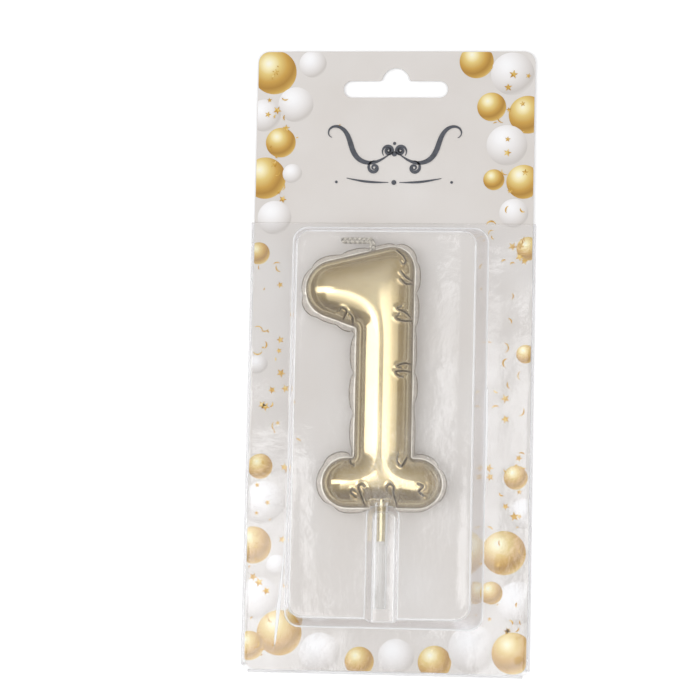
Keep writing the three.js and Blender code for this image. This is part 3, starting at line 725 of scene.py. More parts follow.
def numeral_outline(sizes):
    """Outline of the figure at its seam, from the stem's middle and the foot's underside.

    The crest is a bar with round ends for the foot, a narrow strip for the stem and a wedge with a
    round tip for the flag. The outline is that crest moved out by the puff.
    """
    puff = sizes.puff / MM
    crest = sizes.stem_width / MM / 2 - puff
    middle = sizes.foot_height / MM / 2
    foot = middle - puff
    foot_end = sizes.foot_width / MM / 2 - puff - foot
    rise, fall = sizes.flag_top, sizes.flag_under
    small = 0.4
    peak_x, peak_y = crest - small, sizes.height / MM - puff - small
    top = peak_y + small / math.cos(rise) - math.tan(rise) * peak_x
    inner_corner = (sizes.height - sizes.flag_under_drop) / MM
    under = inner_corner - math.tan(fall) * (crest + puff) + puff / math.cos(fall)
    tip_x = puff - sizes.flag_reach / MM
    gap = top + math.tan(rise) * tip_x - (under - math.tan(fall) * tip_x)
    tip = gap / (1 / math.cos(rise) + 1 / math.cos(fall) - math.tan(rise) - math.tan(fall))
    tip_y = top + math.tan(rise) * (tip_x + tip) - tip / math.cos(rise)
    quarter = math.pi / 2
    loop = np.vstack([
        arc(foot_end, middle, foot, -quarter, quarter, 24),
        [[crest, middle + foot]],
        arc(peak_x, peak_y, small, 0, quarter + rise, 24),
        arc(tip_x + tip, tip_y, tip, quarter + rise, 3 * quarter - fall, 24),
        [[-crest, under + math.tan(fall) * crest]],
        [[-crest, middle + foot]],
        arc(-foot_end, middle, foot, quarter, 3 * quarter, 24),
    ])
    step = 0.26
    outline = even_loop(offset_loop(loop, puff), step)
    return even_loop(soften(outline, 2.6), step)


def outward_of(loop):
    """Unit vectors pointing out of a closed counterclockwise loop at its points."""
    along = np.roll(loop, -1, axis=0) - np.roll(loop, 1, axis=0)
    along /= np.linalg.norm(along, axis=1, keepdims=True)
    return np.stack([along[:, 1], -along[:, 0]], axis=-1)


# Scallops of the flash: middle, half length along the edge and rise
SCALLOPS = np.array([
    (-18.3, 74.5, 4.8, 0.9), (-9.5, 76.6, 4.3, 1.1), (-1.2, 78.4, 3.6, 0.5), (7, 77.5, 4, 1.1),
    (8.6, 69.5, 4.6, 1.2), (8.6, 59.5, 4.8, 0.9), (8.6, 47.5, 5.5, 0.4), (8.6, 36, 4.2, 0.9),
    (8.6, 22, 6, 0.4), (-8.6, 46, 5.2, 1.1), (-8.6, 34.5, 5.4, 1.2), (-8.6, 22.5, 4.6, 0.8),
    (-24.4, 67.5, 4.6, 0.7), (-23.8, 59.4, 4.2, 1.7), (-17.5, 57, 4.6, 0.9), (-11.4, 54.9, 3.2, 1.5),
    (-17.4, 7, 6.4, 1.1), (-14, 14.6, 4.6, 1.6), (-9.4, 0, 4.6, 1), (9, 0, 4.8, 0.4),
    (17.9, 6.6, 5, 0.8), (12.6, 14.6, 4.4, 0.9),
])

# Step between the points drawn along a crease
CREASE_STEP = 0.15

# Pinch creases: points of each small fold from the seam inwards, ending in a curl
CREASES = [
    [(3.4, 77.2), (5.3, 75.6), (6.2, 73.9), (5.6, 72.9), (4.9, 73.6)],
    [(8.2, 68.0), (6.4, 68.9), (4.9, 70.6)],
    [(8.2, 67.1), (6.4, 67.0), (4.9, 68.2)],
    [(7.9, 57.0), (6.3, 58.4), (4.1, 59.4), (5.3, 60.1)],
    [(8.2, 55.9), (5.6, 55.8), (3.8, 56.6), (4.6, 57.6)],
    [(8.1, 42.9), (6.4, 43.1), (4.4, 42.2), (5.6, 41.6)],
    [(8.1, 40.6), (6.4, 40.8), (4.0, 40.4), (4.9, 39.2), (6.2, 38.9)],
    [(-12.3, 56.3), (-11.2, 58.4), (-12.6, 59.4), (-13.6, 58.3)],
    [(-9.6, 54.5), (-9.4, 56.5), (-10.6, 58.0)],
    [(-9.6, 15.6), (-9.2, 13.4), (-7.9, 12.3)],
    [(7.6, 14.9), (6.2, 12.4), (4.9, 14.0), (5.2, 16.3)],
    [(-4.6, 0.4), (-5.9, 4.1), (-6.4, 6.0), (-5.4, 6.8), (-4.7, 6.1)],
    [(-7.2, 2.9), (-8.6, 4.1), (-8.3, 5.1), (-7.2, 4.5)],
    [(4.9, 0.4), (4.0, 4.2), (4.0, 6.0), (3.0, 6.9), (2.0, 5.8), (2.2, 3.0)],
    [(12.9, 3.6), (11.6, 4.9), (12.7, 6.4), (11.3, 7.2)],
]


def curve_through(points, step):
    """Smooth open curve through a few points (Catmull-Rom), at about the given step."""
    points = np.asarray(points, float)
    padded = np.vstack([2 * points[0] - points[1], points, 2 * points[-1] - points[-2]])
    pieces = []
    for i in range(len(points) - 1):
        a, b, c, d = padded[i:i + 4]
        count = max(3, round(np.linalg.norm(c - b) / step))
        share = np.linspace(0, 1, count, endpoint=False)[:, None]
        pieces.append(0.5 * (2 * b + (c - a) * share + (2 * a - 5 * b + 4 * c - d) * share ** 2
                             + (3 * b - a - 3 * c + d) * share ** 3))
    pieces.append(points[-1:])
    return np.vstack(pieces)


def crease_depth(spots):
    """Depth of the pinch creases at the given places, and how deep in a fold each place lies, which sets the
    painted shade in the creases.

    Each fold is a narrow valley with a faint lip on both sides, a bell over the distance to its
    small curve, and it fades at the curl.
    """
    valley_width, valley_depth = 0.28, 0.42
    lip_away, lip_width, lip_height = 0.62, 0.26, 0.16
    depth, fold = np.zeros(len(spots)), np.zeros(len(spots))
    for crease in CREASES:
        path = curve_through(crease, CREASE_STEP)
        around = (spots > path.min(axis=0) - 2) & (spots < path.max(axis=0) + 2)
        near = np.flatnonzero(around.all(axis=1))
        apart = np.linalg.norm(spots[near][:, None, :] - path[None, :, :], axis=2)
        nearest = apart.argmin(axis=1)
        away = apart[np.arange(len(near)), nearest]
        strength = 1 - 0.5 * (nearest / len(path)) ** 2
        valley = strength * np.exp(-(away / valley_width) ** 2)
        lip = strength * np.exp(-((away - lip_away) / lip_width) ** 2)
        depth[near] += valley_depth * valley - lip_height * lip
        fold[near] = np.maximum(fold[near], np.clip(1.5 * valley, 0, 1))
    return depth, fold


def distances(spots, path):
    """Tables of the distances of places to a path's points, a few thousand places at a time."""
    parts = np.array_split(spots, max(1, len(spots) // 3000))
    return (np.linalg.norm(part[:, None] - path, axis=2) for part in parts)


def nearest_to(spots, path):
    """Distance of each place to the nearest point of a path."""
    return np.concatenate([away.min(axis=1) for away in distances(spots, path)])


def depth_inside(spots, outline):
    """How deep places lie inside the outline, without sharp ridges.

    It is the distance that a straight edge would need to give the same sum over the outline's
    points of one over the sixth power of their distances.
    """
    shares = np.linalg.norm(np.roll(outline, -1, axis=0) - np.roll(outline, 1, axis=0), axis=1) / 2
    straight = math.sqrt(math.pi) * math.gamma(2.5) / math.gamma(3)
    sums = [away ** -6.0 @ shares for away in distances(spots, outline)]
    return (np.concatenate(sums) / straight) ** -0.2


def lattice(low, high, pitch):
    """Corners of even triangles that cover a rectangle, always on the same grid."""
    line_pitch = pitch * math.sqrt(0.75)
    columns = np.arange(math.floor(low[0] / pitch), math.ceil(high[0] / pitch) + 1)
    lines = np.arange(math.floor(low[1] / line_pitch), math.ceil(high[1] / line_pitch) + 1)
    column, line = np.meshgrid(columns, lines)
    return np.stack([(column + line % 2 / 2) * pitch, line * line_pitch], axis=-1).reshape(-1, 2)


def inside_loop(spots, loop):
    """Whether places lie inside a closed loop, by counting its crossings to their right."""
    crossed = np.zeros(len(spots), bool)
    for (ax, ay), (bx, by) in zip(loop, np.roll(loop, -1, axis=0)):
        if ay != by:
            between = (ay > spots[:, 1]) != (by > spots[:, 1])
            crossed ^= between & (spots[:, 0] < (bx - ax) * (spots[:, 1] - ay) / (by - ay) + ax)
    return crossed


def numeral_body(sizes):
    """Points and faces of the wax numeral, how far each point lies out on the flash, and its painted shade in
    creases and along the seam.

    The height over the middle plane rises from the seam as a quarter ellipse over how deep a place
    lies inside the outline: the root of one less a power of what is left to the deepest place.
    Rings follow the outline near the seam, and even triangles fill the inside, fine ones beside
    the creases.
    """
    outline = numeral_outline(sizes)
    smoothed = outward_of(soften(outline, 3.0))
    step = np.linalg.norm(np.roll(outline, -1, axis=0) - outline, axis=1)
    count = len(outline)
    seam = sizes.seam / MM / 2
    rise = sizes.thickness / MM / 2 - seam
    insets = np.array([0, 0.02, 0.07, 0.15, 0.27, 0.42, 0.6])
    rings = [outline - smoothed * inset for inset in insets]
    last = rings[-1]

    folds = [curve_through(crease, CREASE_STEP) for crease in CREASES]
    pitch, fine_pitch, fine_reach = 0.44, 0.125, 0.85
    coarse = lattice(outline.min(axis=0), outline.max(axis=0), pitch)
    coarse = coarse[nearest_to(coarse, np.vstack(folds)) > fine_reach + 0.1]
    fine = []
    for path in folds:
        spots = lattice(path.min(axis=0) - 0.9, path.max(axis=0) + 0.9, fine_pitch)
        fine.append(spots[nearest_to(spots, path) < fine_reach])
    filling = np.vstack([coarse, np.unique(np.vstack(fine).round(5), axis=0)])
    filling = filling[inside_loop(filling, last)]
    filling = filling[nearest_to(filling, last) > 0.09]
    flat = [Vector(spot) for spot in np.vstack([last, filling]).tolist()]
    vertices, _, triangles, _, _, _ = delaunay_2d_cdt(flat, [], [list(range(count))], 1, 1e-6)
    if len(vertices) != len(flat):
        raise RuntimeError("the numeral's filling gained or lost points")
    triangles = np.array(triangles)

    # Between the seam and the first exact ring the depth follows the inset
    exact = 4
    spots = np.vstack(rings + [filling])
    film = np.zeros(len(spots))
    film[exact * count:] = depth_inside(spots[exact * count:], outline)
    ring_film = film[exact * count:(exact + 1) * count]
    for order in range(exact):
        film[order * count:(order + 1) * count] = ring_film * insets[order] / insets[exact]
    left = 1 - film / film.max()
    dent, fold = crease_depth(spots)
    height = seam + rise * np.sqrt(1 - left ** sizes.fullness)
    # Creases fade out, and the painted shade along the seam fades in, over the last stretch to the seam
    stretch, shade = 1.5, 0.74
    dented = height - dent * np.clip(film / stretch, 0, 1)
    height = np.maximum(dented, np.where(film > 0, seam + 0.01, seam))
    fold = np.maximum(fold, shade * np.exp(-(film / stretch) ** 2))

    # Seam flash: rim of even width that swells in scallops, thin at its edge
    middle = outline + smoothed * (sizes.flash / MM)
    apart = np.linalg.norm(middle[:, None] - SCALLOPS[:, :2], axis=2) / SCALLOPS[:, 2]
    swell = (SCALLOPS[:, 3] * np.sqrt(np.clip(1 - apart ** 2, 0, None))).max(axis=1)
    width = sizes.flash / MM + soften(swell, 1.6)
    run = np.cumsum(step)
    flutter = 0.09 * np.sin(run * 2.1) + 0.06 * np.sin(run * 4.7 + 1)
    rim = []
    for out, level, bend in (
        (0.12, 0.95, 0), (0.45, 0.8, 0.6), (0.8, 0.78, 1), (0.95, 0.6, 1), (1.0, 0.25, 1),
    ):
        rim.append((outline + smoothed * (width * out)[:, None], level * seam, flutter * bend, out))

    upper_rim = [np.column_stack([spot, lift + thick]) for spot, thick, lift, _ in rim]
    lower_rim = [np.column_stack([spot, lift - thick]) for spot, thick, lift, _ in reversed(rim)]
    upper, lower = (np.column_stack([spots, level]) for level in (height, -height))
    points = np.vstack([upper, *upper_rim, *lower_rim, lower])
    body = len(spots)
    base = body + 2 * len(rim) * count
    # Ring order from the front's last ring out over the rim and back in behind
    inner = np.arange(len(insets)) * count
    starts = np.concatenate([inner[::-1], body + np.arange(2 * len(rim)) * count, base + inner])
    order = starts[:, None] + np.arange(count)
    strips = order.ravel()[grid_faces(len(starts), count, wrap=True)][:, ::-1]
    first = (len(insets) - 1) * count
    front = first + triangles
    back = (base + first + triangles)[:, ::-1]
    out = np.repeat([part[-1] for part in rim], count)
    none = np.zeros(body)
    flash = np.concatenate([none, out, out[::-1], none])
    fold = np.concatenate([fold, np.zeros(2 * len(out)), fold])
    return points, [strips, front, back], flash, fold


def arch_cutter(sizes):
    """Prism with an arched roof that cuts the pick's socket out of the foot's front."""
    half = sizes.socket_width / MM / 2
    roof = sizes.socket_height / MM
    # Reach below the foot, before the numeral, and behind the pick
    below, front, gap = 4, 9, 0.5
    outline = np.vstack([
        [[-half, -below], [half, -below]],
        arc(half - roof / 2, roof / 2, roof / 2, 0, math.pi / 2, 10),
        arc(-half + roof / 2, roof / 2, roof / 2, math.pi / 2, math.pi, 10),
    ])
    back = -(pick_high[0] - pick_low[0]) / 2 - gap
    count = len(outline)
    points = np.vstack([np.column_stack([outline, np.full(count, level)]) for level in (back, front)])
    walls = grid_faces(2, count, wrap=True)
    caps = [np.arange(count)[::-1][None, :], (np.arange(count) + count)[None, :]]
    return points, walls, caps


# Wick and pick

# The wick's stub stands this far to the left of the pick
STUB_ASIDE = 4.3
# Lacquered length of the wick that hangs out below the socket's roof
LACQUERED = 12.6


def tube(path, radius, sides):
    """Closed round tube along a path of points, its rings set square to the path."""
    along = directions(path)
    across = np.cross(along, [0, 0, 1.0])
    across /= np.linalg.norm(across, axis=1, keepdims=True)
    above = np.cross(across, along)
    turn = round_turns(sides)
    ring = np.cos(turn)[:, None] * across[:, None] + np.sin(turn)[:, None] * above[:, None]
    radius = np.broadcast_to(radius, len(path))
    points = (path[:, None, :] + radius[:, None, None] * ring).reshape(-1, 3)
    ends = np.vstack([path[0], path[-1]])
    count = len(points)
    walls = grid_faces(len(path), sides, wrap=True)[:, ::-1]
    spokes = np.arange(sides)
    start = np.column_stack([np.full(sides, count), spokes, (spokes + 1) % sides])
    last = count - sides
    end = np.column_stack([np.full(sides, count + 1), last + (spokes + 1) % sides, last + spokes])
    return np.vstack([points, ends]), walls, np.vstack([start, end])


def wick_route(axis_x, foot_y, depth, numeral):
    """Middle line of the braid from its free end into the wax, and that of its lacquered lower end.

    A straight free end, a quarter turn, the stub, a slow S through the wax, then the straight end.
    """
    end_x = tip_low[0] + (tip_high[1] - tip_low[1]) / 2
    tip_y = (tip_low[1] + tip_high[1]) / 2
    stub_x = axis_x - STUB_ASIDE
    turn = 1.0
    free = np.column_stack([np.linspace(end_x, stub_x - turn, 60), np.full(60, tip_y)])
    bend = arc(stub_x - turn, tip_y - turn, turn, math.pi / 2, 0, 16)[1:]
    top = foot_y + numeral.height / MM - numeral.puff / MM
    down = np.column_stack([np.full(20, stub_x), np.linspace(tip_y - turn, top, 21)[1:]])
    low = foot_y + numeral.foot_height / MM
    share = np.linspace(0, 1, 70)[1:]
    ease = share ** 2 * (3 - 2 * share)
    inner = np.column_stack([stub_x + (axis_x - stub_x) * ease, top + (low - top) * share])
    flat = np.vstack([free, bend, down, inner])
    run = np.concatenate([[0], np.cumsum(np.linalg.norm(np.diff(flat, axis=0), axis=1))])
    count = 560
    at = np.linspace(0, run[-1], count)
    route_x, route_y = (np.interp(at, run, part) for part in flat.T)
    route = np.column_stack([route_x, route_y, np.full(count, depth)])
    roof = foot_y + numeral.socket_height / MM
    last = roof - LACQUERED
    stations = np.array([low + 0.5, roof, roof - 6, last + 0.3, last + 0.1, last])
    end = np.column_stack([np.full(6, axis_x), stations, np.full(6, depth)])
    return route, at, end


def braid(route, run, sizes):
    """Plies of a braid round its middle line, and how deep each point lies between them, which sets the
    painted shade of the cotton.

    A ply swings across by the sine of its phase and up by the sine of twice that phase, and it
    thins towards both ends.
    """
    along = directions(route)
    across = np.cross(along, [0, 0, 1.0])
    above = np.cross(across, along)
    whole, ply, sides = sizes.diameter / MM / 2, sizes.ply / MM / 2, 10
    waist = np.clip(np.minimum(run, run[-1] - run) / 0.5, 0.25, 1) ** 0.5
    points, walls, caps, deep = [], [], [], []
    first = 0
    for number in range(sizes.plies):
        phase = 2 * math.pi * (run / (sizes.lay / MM) + number / sizes.plies)
        swing = np.sin(phase)[:, None] * across + np.sin(2 * phase)[:, None] * above
        spots, wall, cap = tube(route + (whole - ply) * swing, ply * waist, sides)
        away = np.linalg.norm(spots[:-2].reshape(len(route), sides, 3) - route[:, None], axis=2)
        points.append(spots)
        walls.append(wall + first)
        caps.append(cap + first)
        deep.append(np.append(np.clip(1.15 - away.ravel() / whole, 0, 1), [0, 0]))
        first += len(spots)
    return np.vstack(points), np.vstack(walls), np.vstack(caps), np.concatenate(deep)


def turned_profile(profile, sides):
    """Closed body of a profile of (radius, height) pairs turned round a line along +Y."""
    turn = round_turns(sides)
    points = np.stack([
        profile[:, :1] * np.cos(turn),
        np.repeat(profile[:, 1:], sides, axis=1),
        -profile[:, :1] * np.sin(turn),
    ], axis=-1).reshape(-1, 3)
    caps = np.vstack([np.arange(sides)[::-1], len(points) - sides + np.arange(sides)])
    return points, [grid_faces(len(profile), sides, wrap=True), caps]


# Print on the card


# Card's corner radius
CARD_CORNER = 3.5
# Hang slot: its line below the card's top edge, half its straight length and its ends' radius
SLOT_DROP, SLOT_HALF, SLOT_END = 11.7, 13.4, 2.6
# Round bump over the slot's middle: lift over the slot's line and radius
BUMP_LIFT, BUMP_RADIUS = 2.4, 4.2


def inside_card(x, y, margin):
    """Whether places lie on the card's face, inside its edge by a margin and off the hang slot."""
    low, high = card_low + margin, card_high - margin
    radius = CARD_CORNER - margin
    corner_x = np.maximum(np.abs(x) - (high[0] - radius), 0)
    corner_y = np.maximum(np.abs(y - (low[1] + high[1]) / 2) - ((high[1] - low[1]) / 2 - radius), 0)
    on = np.hypot(corner_x, corner_y) < radius
    slot_y = card_high[1] - SLOT_DROP
    in_slot = np.hypot(np.maximum(np.abs(x) - SLOT_HALF, 0), y - slot_y) < SLOT_END + margin
    in_bump = np.hypot(x, y - slot_y - BUMP_LIFT) < BUMP_RADIUS + margin
    return on & ~in_slot & ~in_bump


# Beads: place from the card's middle and bottom edge, radius and kind (0 gold, 1 pearl)
BEADS = np.array([
    (-37.4, 182.0, 6.8, 0), (-25.6, 184.6, 4.2, 1), (-30.6, 172.0, 5.4, 1), (-40.2, 168.6, 5.0, 1),
    (-35.0, 160.2, 4.6, 0), (-39.6, 149.2, 6.4, 0), (-31.2, 150.6, 3.0, 1), (-36.4, 137.0, 5.2, 1),
    (-41.0, 126.0, 3.4, 0), (24.6, 185.4, 5.2, 0), (35.6, 181.6, 6.6, 1), (29.4, 171.4, 4.4, 0),
    (40.4, 169.0, 5.8, 0), (34.2, 159.6, 6.2, 1), (39.4, 148.4, 5.2, 0), (30.4, 149.0, 3.2, 0),
    (36.6, 138.8, 4.4, 1), (41.2, 128.0, 3.6, 0), (-40.4, 92.0, 3.0, 1), (-39.0, 61.0, 3.8, 0),
    (-37.6, 50.0, 6.6, 1), (-40.6, 37.2, 5.6, 0), (-33.2, 31.2, 3.2, 1), (-38.6, 21.2, 6.4, 1),
    (-32.0, 11.0, 6.8, 0), (-41.0, 7.0, 4.4, 0), (-19.6, 5.2, 6.2, 1), (-7.6, 3.0, 4.4, 0),
    (3.4, 4.6, 5.4, 1), (15.0, 3.2, 5.0, 0), (26.2, 7.4, 7.2, 1), (38.2, 6.4, 6.2, 0),
    (39.6, 21.4, 6.4, 1), (31.6, 24.2, 3.4, 0), (35.2, 36.2, 6.6, 0), (41.2, 48.0, 4.6, 1),
    (38.4, 58.8, 3.6, 0), (40.8, 96.0, 2.8, 0),
])


# Heights over the card's face: first bead and step from bead to bead, stars, flecks, scroll
BEAD_LIFT, BEAD_STEP, STAR_LIFT, FLECK_LIFT, SCROLL_LIFT = 0.012, 0.004, 0.2, 0.21, 0.22


def joined(parts):
    """Points and faces of several parts as one, each part's corner numbers moved past those before."""
    starts = np.cumsum([0] + [len(points) for points, _ in parts])
    faces = [group + start for (_, group), start in zip(parts, starts)]
    return np.vstack([points for points, _ in parts]), np.vstack(faces)


def fan(x, y, ring, level):
    """Flat fan of triangles from a middle to a ring round it."""
    count = len(ring)
    spokes = np.arange(count)
    triangles = np.column_stack([np.zeros(count, int), 1 + spokes, 1 + (spokes + 1) % count])
    return np.column_stack([np.vstack([[[x, y]], ring]), np.full(count + 1, level)]), triangles


def bead_discs(kind):
    """Flat round prints of one kind: polar grids whose reach is cut where the card ends.

    Each ring lies at a share of the radius, and the map coordinates keep the uncut radius.
    """
    turn = round_turns(56)
    shares = np.linspace(0, 1, 12)
    parts, maps = [], []
    for order, (x, y, radius, which) in enumerate(BEADS):
        if which != kind:
            continue
        y = card_low[1] + y
        steps = np.linspace(0, radius, 220)
        ok = inside_card(x + steps[:, None] * np.cos(turn), y + steps[:, None] * np.sin(turn), 0.15)
        last = len(steps) - 1
        reach = steps[np.where(ok.all(axis=0), last, np.argmin(ok, axis=0) - 1).clip(1)]
        spread = shares[:, None] * reach
        flat_x, flat_y = spread * np.cos(turn), spread * np.sin(turn)
        level = card_high[2] + BEAD_LIFT + BEAD_STEP * order
        spots = np.stack([x + flat_x, y + flat_y, np.full_like(flat_x, level)], axis=-1)
        parts.append((spots.reshape(-1, 3), grid_faces(len(shares), len(turn), wrap=True)[:, ::-1]))
        maps.append(0.5 + np.stack([flat_x, flat_y], axis=-1).reshape(-1, 2) / radius / 2)
    points, faces = joined(parts)
    return points, np.vstack(maps), faces


def star_shapes():
    """Small five-pointed stars scattered round the beads, as fans of triangles."""
    random = np.random.default_rng(21)
    notch = 0.42
    turn = math.pi / 2 + np.arange(10) * math.pi / 5
    reach = np.where(np.arange(10) % 2 == 0, 1.0, notch)
    parts = []
    for number in range(54):
        side = -1 if number % 2 else 1
        x = side * (42 - abs(random.normal(0, 6.5)) - 1.5)
        heights = [random.uniform(12, 70), random.uniform(120, 186), random.uniform(60, 130)]
        y = card_low[1] + random.choice(heights)
        size = random.uniform(0.7, 1.5)
        spin = random.uniform(0, 2 * math.pi)
        ring_x = x + size * reach * np.cos(turn + spin)
        ring_y = y + size * reach * np.sin(turn + spin)
        if inside_card(ring_x, ring_y, 0.3).all():
            parts.append(fan(x, y, np.column_stack([ring_x, ring_y]), card_high[2] + STAR_LIFT))
    return joined(parts)


def ribbon(path, width, level):
    """Flat ribbon of varying width along a path, as one strip of faces facing up."""
    along = directions(path)
    left = np.column_stack([-along[:, 1], along[:, 0]])
    half = left * width[:, None] / 2
    edges = [path - half, path + half]
    points = np.vstack([np.column_stack([edge, np.full(len(path), level)]) for edge in edges])
    return points, grid_faces(2, len(path))


def fleck_shapes():
    """Tiny curled ribbons of gold ink, each a short arc that tapers to its ends."""
    random = np.random.default_rng(8)
    parts = []
    for number in range(90):
        side = -1 if number % 2 else 1
        x = side * (41.5 - abs(random.normal(0, 7.5)))
        y = card_low[1] + random.uniform(4, 186)
        radius = random.uniform(0.5, 1.6)
        start = random.uniform(0, 2 * math.pi)
        sweep = random.uniform(0.9, 2.6)
        path = arc(x, y, radius, start, start + sweep, 9)
        if not inside_card(path[:, 0], path[:, 1], 0.4).all():
            continue
        width = random.uniform(0.3, 0.55) * np.sin(np.linspace(0.25, math.pi - 0.25, 9))
        parts.append(ribbon(path, width, card_high[2] + FLECK_LIFT))
    return joined(parts)


def scroll_line(bends, reach, turn, start):
    """Curve whose bend changes evenly along it between the given values, as flourishes are drawn."""
    count = 160
    run = np.linspace(0, 1, count)
    bend = np.interp(run, np.linspace(0, 1, len(bends)), bends)
    heading = turn + np.concatenate([[0], np.cumsum((bend[1:] + bend[:-1]) / 2 * np.diff(run))])
    steps = np.stack([np.cos(heading), np.sin(heading)], axis=-1) * (reach / count)
    return np.asarray(start) + np.cumsum(steps, axis=0)


def scroll_shapes():
    """A symmetrical scroll: two flourishes with rolled ends, side curls, and a fine tapered line.

    Every stroke swells in its middle and thins to its ends, as a pen draws it, and is drawn once
    for each side.
    """
    middle, level = card_low[1] + 155.6, card_high[2] + SCROLL_LIFT
    thin = 0.22
    strokes = []
    for bends, reach, turn, start, thickest in (
        ([-2, 4.5, 6, -1, -9, -22], 30, -0.55, (0.4, 1.8), 1.6),
        ([6, 9, 16, 30], 13, 0.9, (3.2, 0.6), 1.15),
        ([-6, -7, -12, -26], 12, 0.2, (5.5, -1.0), 1.0),
        ([0, 0.4, 0], 13, 0, (1.6, -7.6), 0.7),
    ):
        path = scroll_line(bends, reach, turn, start)
        share = np.linspace(0, 1, len(path))
        width = thin + (thickest - thin) * np.sin(share * math.pi) ** 1.3
        for side in (1, -1):
            strokes.append(ribbon(path * [side, 1] + [0, middle], width, level))
    turn = round_turns(24)
    dots = []
    for x, y, radius in (
        (0, 1.2, 0.8), (0, 4.4, 0.5), (0, -7.6, 0.75), (17.6, -7.5, 0.42), (-17.6, -7.5, 0.42),
    ):
        ring = np.stack([x + radius * np.cos(turn), middle + y + radius * np.sin(turn)], axis=-1)
        dots.append(fan(x, middle + y, ring, level))
    points, quads = joined(strokes)
    dot_points, fans = joined(dots)
    return np.vstack([points, dot_points]), quads, fans + len(points)


# Operators


def face_up(piece):
    """Turns each face of a flat print to look up out of the card."""
    mesh = piece.data
    normals = np.empty(len(mesh.polygons) * 3, np.float32)
    mesh.polygons.foreach_get("normal", normals)
    for polygon in np.flatnonzero(normals.reshape(-1, 3)[:, 2] < 0):
        mesh.polygons[int(polygon)].flip()
    mesh.update()


def candle_place(sizes):
    """Origin of the numeral's own coordinates: stem's middle, foot's underside, middle plane."""
    middle = (pick_low + pick_high) / 2
    return np.array([middle[0], pick_high[1] + 1 - sizes.socket_height / MM, middle[2]])


def apply_modifiers(piece):
    """Turns what a piece's modifiers show into its own mesh."""
    shown = bpy.context.evaluated_depsgraph_get()
    mesh = bpy.data.meshes.new_from_object(
        piece.evaluated_get(shown), preserve_all_data_layers=True, depsgraph=shown,
    )
    old = piece.data
    piece.modifiers.clear()
    piece.data = mesh
    bpy.data.meshes.remove(old)
    mesh.name = piece.name


class CANDLEPACK_OT_card(bpy.types.Operator):
    """Gives the hang card its printed board"""

    bl_idname = "candle_pack.card"
    bl_label = "Dress card"

    def execute(self, context):
        material = card_material(context.scene.pack_colours)
        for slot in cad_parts["backing_card"].material_slots:
            slot.link = "OBJECT"
            slot.material = material
        return {"FINISHED"}


class CANDLEPACK_OT_print(bpy.types.Operator):
    """Prints beads, stars, flecks and a scroll on the card's face"""

    bl_idname = "candle_pack.print"
    bl_label = "Print card"

    def execute(self, context):
        colours = context.scene.pack_colours
        gold = bead_material("gold_bead_offset_print", shades(colours, "gold_beads", [
            (0.0, "fffbe6"), (0.1, "fbf0c0"), (0.24, "e6cb7c"), (0.42, "cc9f45"), (0.56, "b0822f"),
            (0.68, "cba24c"), (0.8, "eed892"),
        ]))
        pearl = bead_material("pearl_bead_offset_print", shades(colours, "pearl_beads", [
            (0.0, "ffffff"), (0.14, "fbfafa"), (0.34, "efecea"), (0.54, "ddd8d4"), (0.66, "cdc7c1"),
            (0.8, "e6e2de"),
        ]))
        for name, kind, material in (("print_gold_beads", 0, gold), ("print_pearl_beads", 1, pearl)):
            points, maps, faces = bead_discs(kind)
            piece, used = new_piece(name, points, [faces], material)
            layer = piece.data.uv_layers.new(name="UVMap")
            corners = np.empty(len(piece.data.loops), np.int32)
            piece.data.loops.foreach_get("vertex_index", corners)
            layer.data.foreach_set("uv", maps[used][corners].astype(np.float32).ravel())
            self.carry(piece)
        # Aluminium flake in varnish
        ink = ink_material("metallic_gold_ink", 1.11, 2, shades(colours, "gold_ink", [
            (0.3, "b98a35"), (0.5, "d3aa52"), (0.7, "eed792"),
        ]), 0.38, 0.45)
        for name, (points, faces) in (("print_stars", star_shapes()), ("print_flecks", fleck_shapes())):
            self.carry(new_piece(name, points, [faces], ink)[0])
        # Dark slate ink under matt varnish, mottled by the board
        slate = ink_material("slate_offset_ink", 1.43, 3, shades(colours, "slate_ink", [
            (0.3, "454850"), (0.7, "565962"),
        ]), 0.45)
        points, quads, fans = scroll_shapes()
        self.carry(new_piece("print_scroll", points, [quads, fans], slate)[0])
        return {"FINISHED"}

    def carry(self, piece):
        """Turns the print's faces up, and the print moves with the card."""
        face_up(piece)
        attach(piece, "card")


class CANDLEPACK_OT_blister(bpy.types.Operator):
    """Forms the clear blister with its bubble, groove and folded rails"""

    bl_idname = "candle_pack.blister"
    bl_label = "Form blister"

    def execute(self, context):
        sizes = context.scene.blister_sizes
        points, faces, bend = blister_sheet(sizes)
        piece, used = new_piece("blister_clear_sheet", points, [faces], clear_sheet_material())
        # How sharply the sheet is bent draws its edges white, partly as a painted highlight
        set_value(piece, "bend", bend[used])
        thick = piece.modifiers.new("sheet", "SOLIDIFY")
        thick.thickness = sizes.sheet
        thick.offset = -1
        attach(piece, "blister")
        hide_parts("blister_shell")
        return {"FINISHED"}


class CANDLEPACK_OT_numeral(bpy.types.Operator):
    """Moulds the puffed wax numeral with its seam flash, creases and socket"""

    bl_idname = "candle_pack.numeral"
    bl_label = "Mould numeral"

    def execute(self, context):
        sizes = context.scene.numeral_sizes
        material = gold_lacquer_material(context.scene.pack_colours)
        place = candle_place(sizes)
        points, faces, flash, fold = numeral_body(sizes)
        piece, used = new_piece("numeral_gold_wax", points + place, faces, material)
        set_value(piece, "flash", flash[used])
        # Painted shade in the creases and along the seam
        set_value(piece, "fold", fold[used])
        cutter_points, walls, caps = arch_cutter(sizes)
        cutter, _ = new_piece("socket_cutter", cutter_points + place, [walls, *caps], material)
        cut = piece.modifiers.new("socket", "BOOLEAN")
        cut.object = cutter
        cut.operation = "DIFFERENCE"
        cut.solver = "MANIFOLD"
        apply_modifiers(piece)
        bpy.data.objects.remove(cutter)
        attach(piece, "blister")
        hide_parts("numeral_wax")
        return {"FINISHED"}


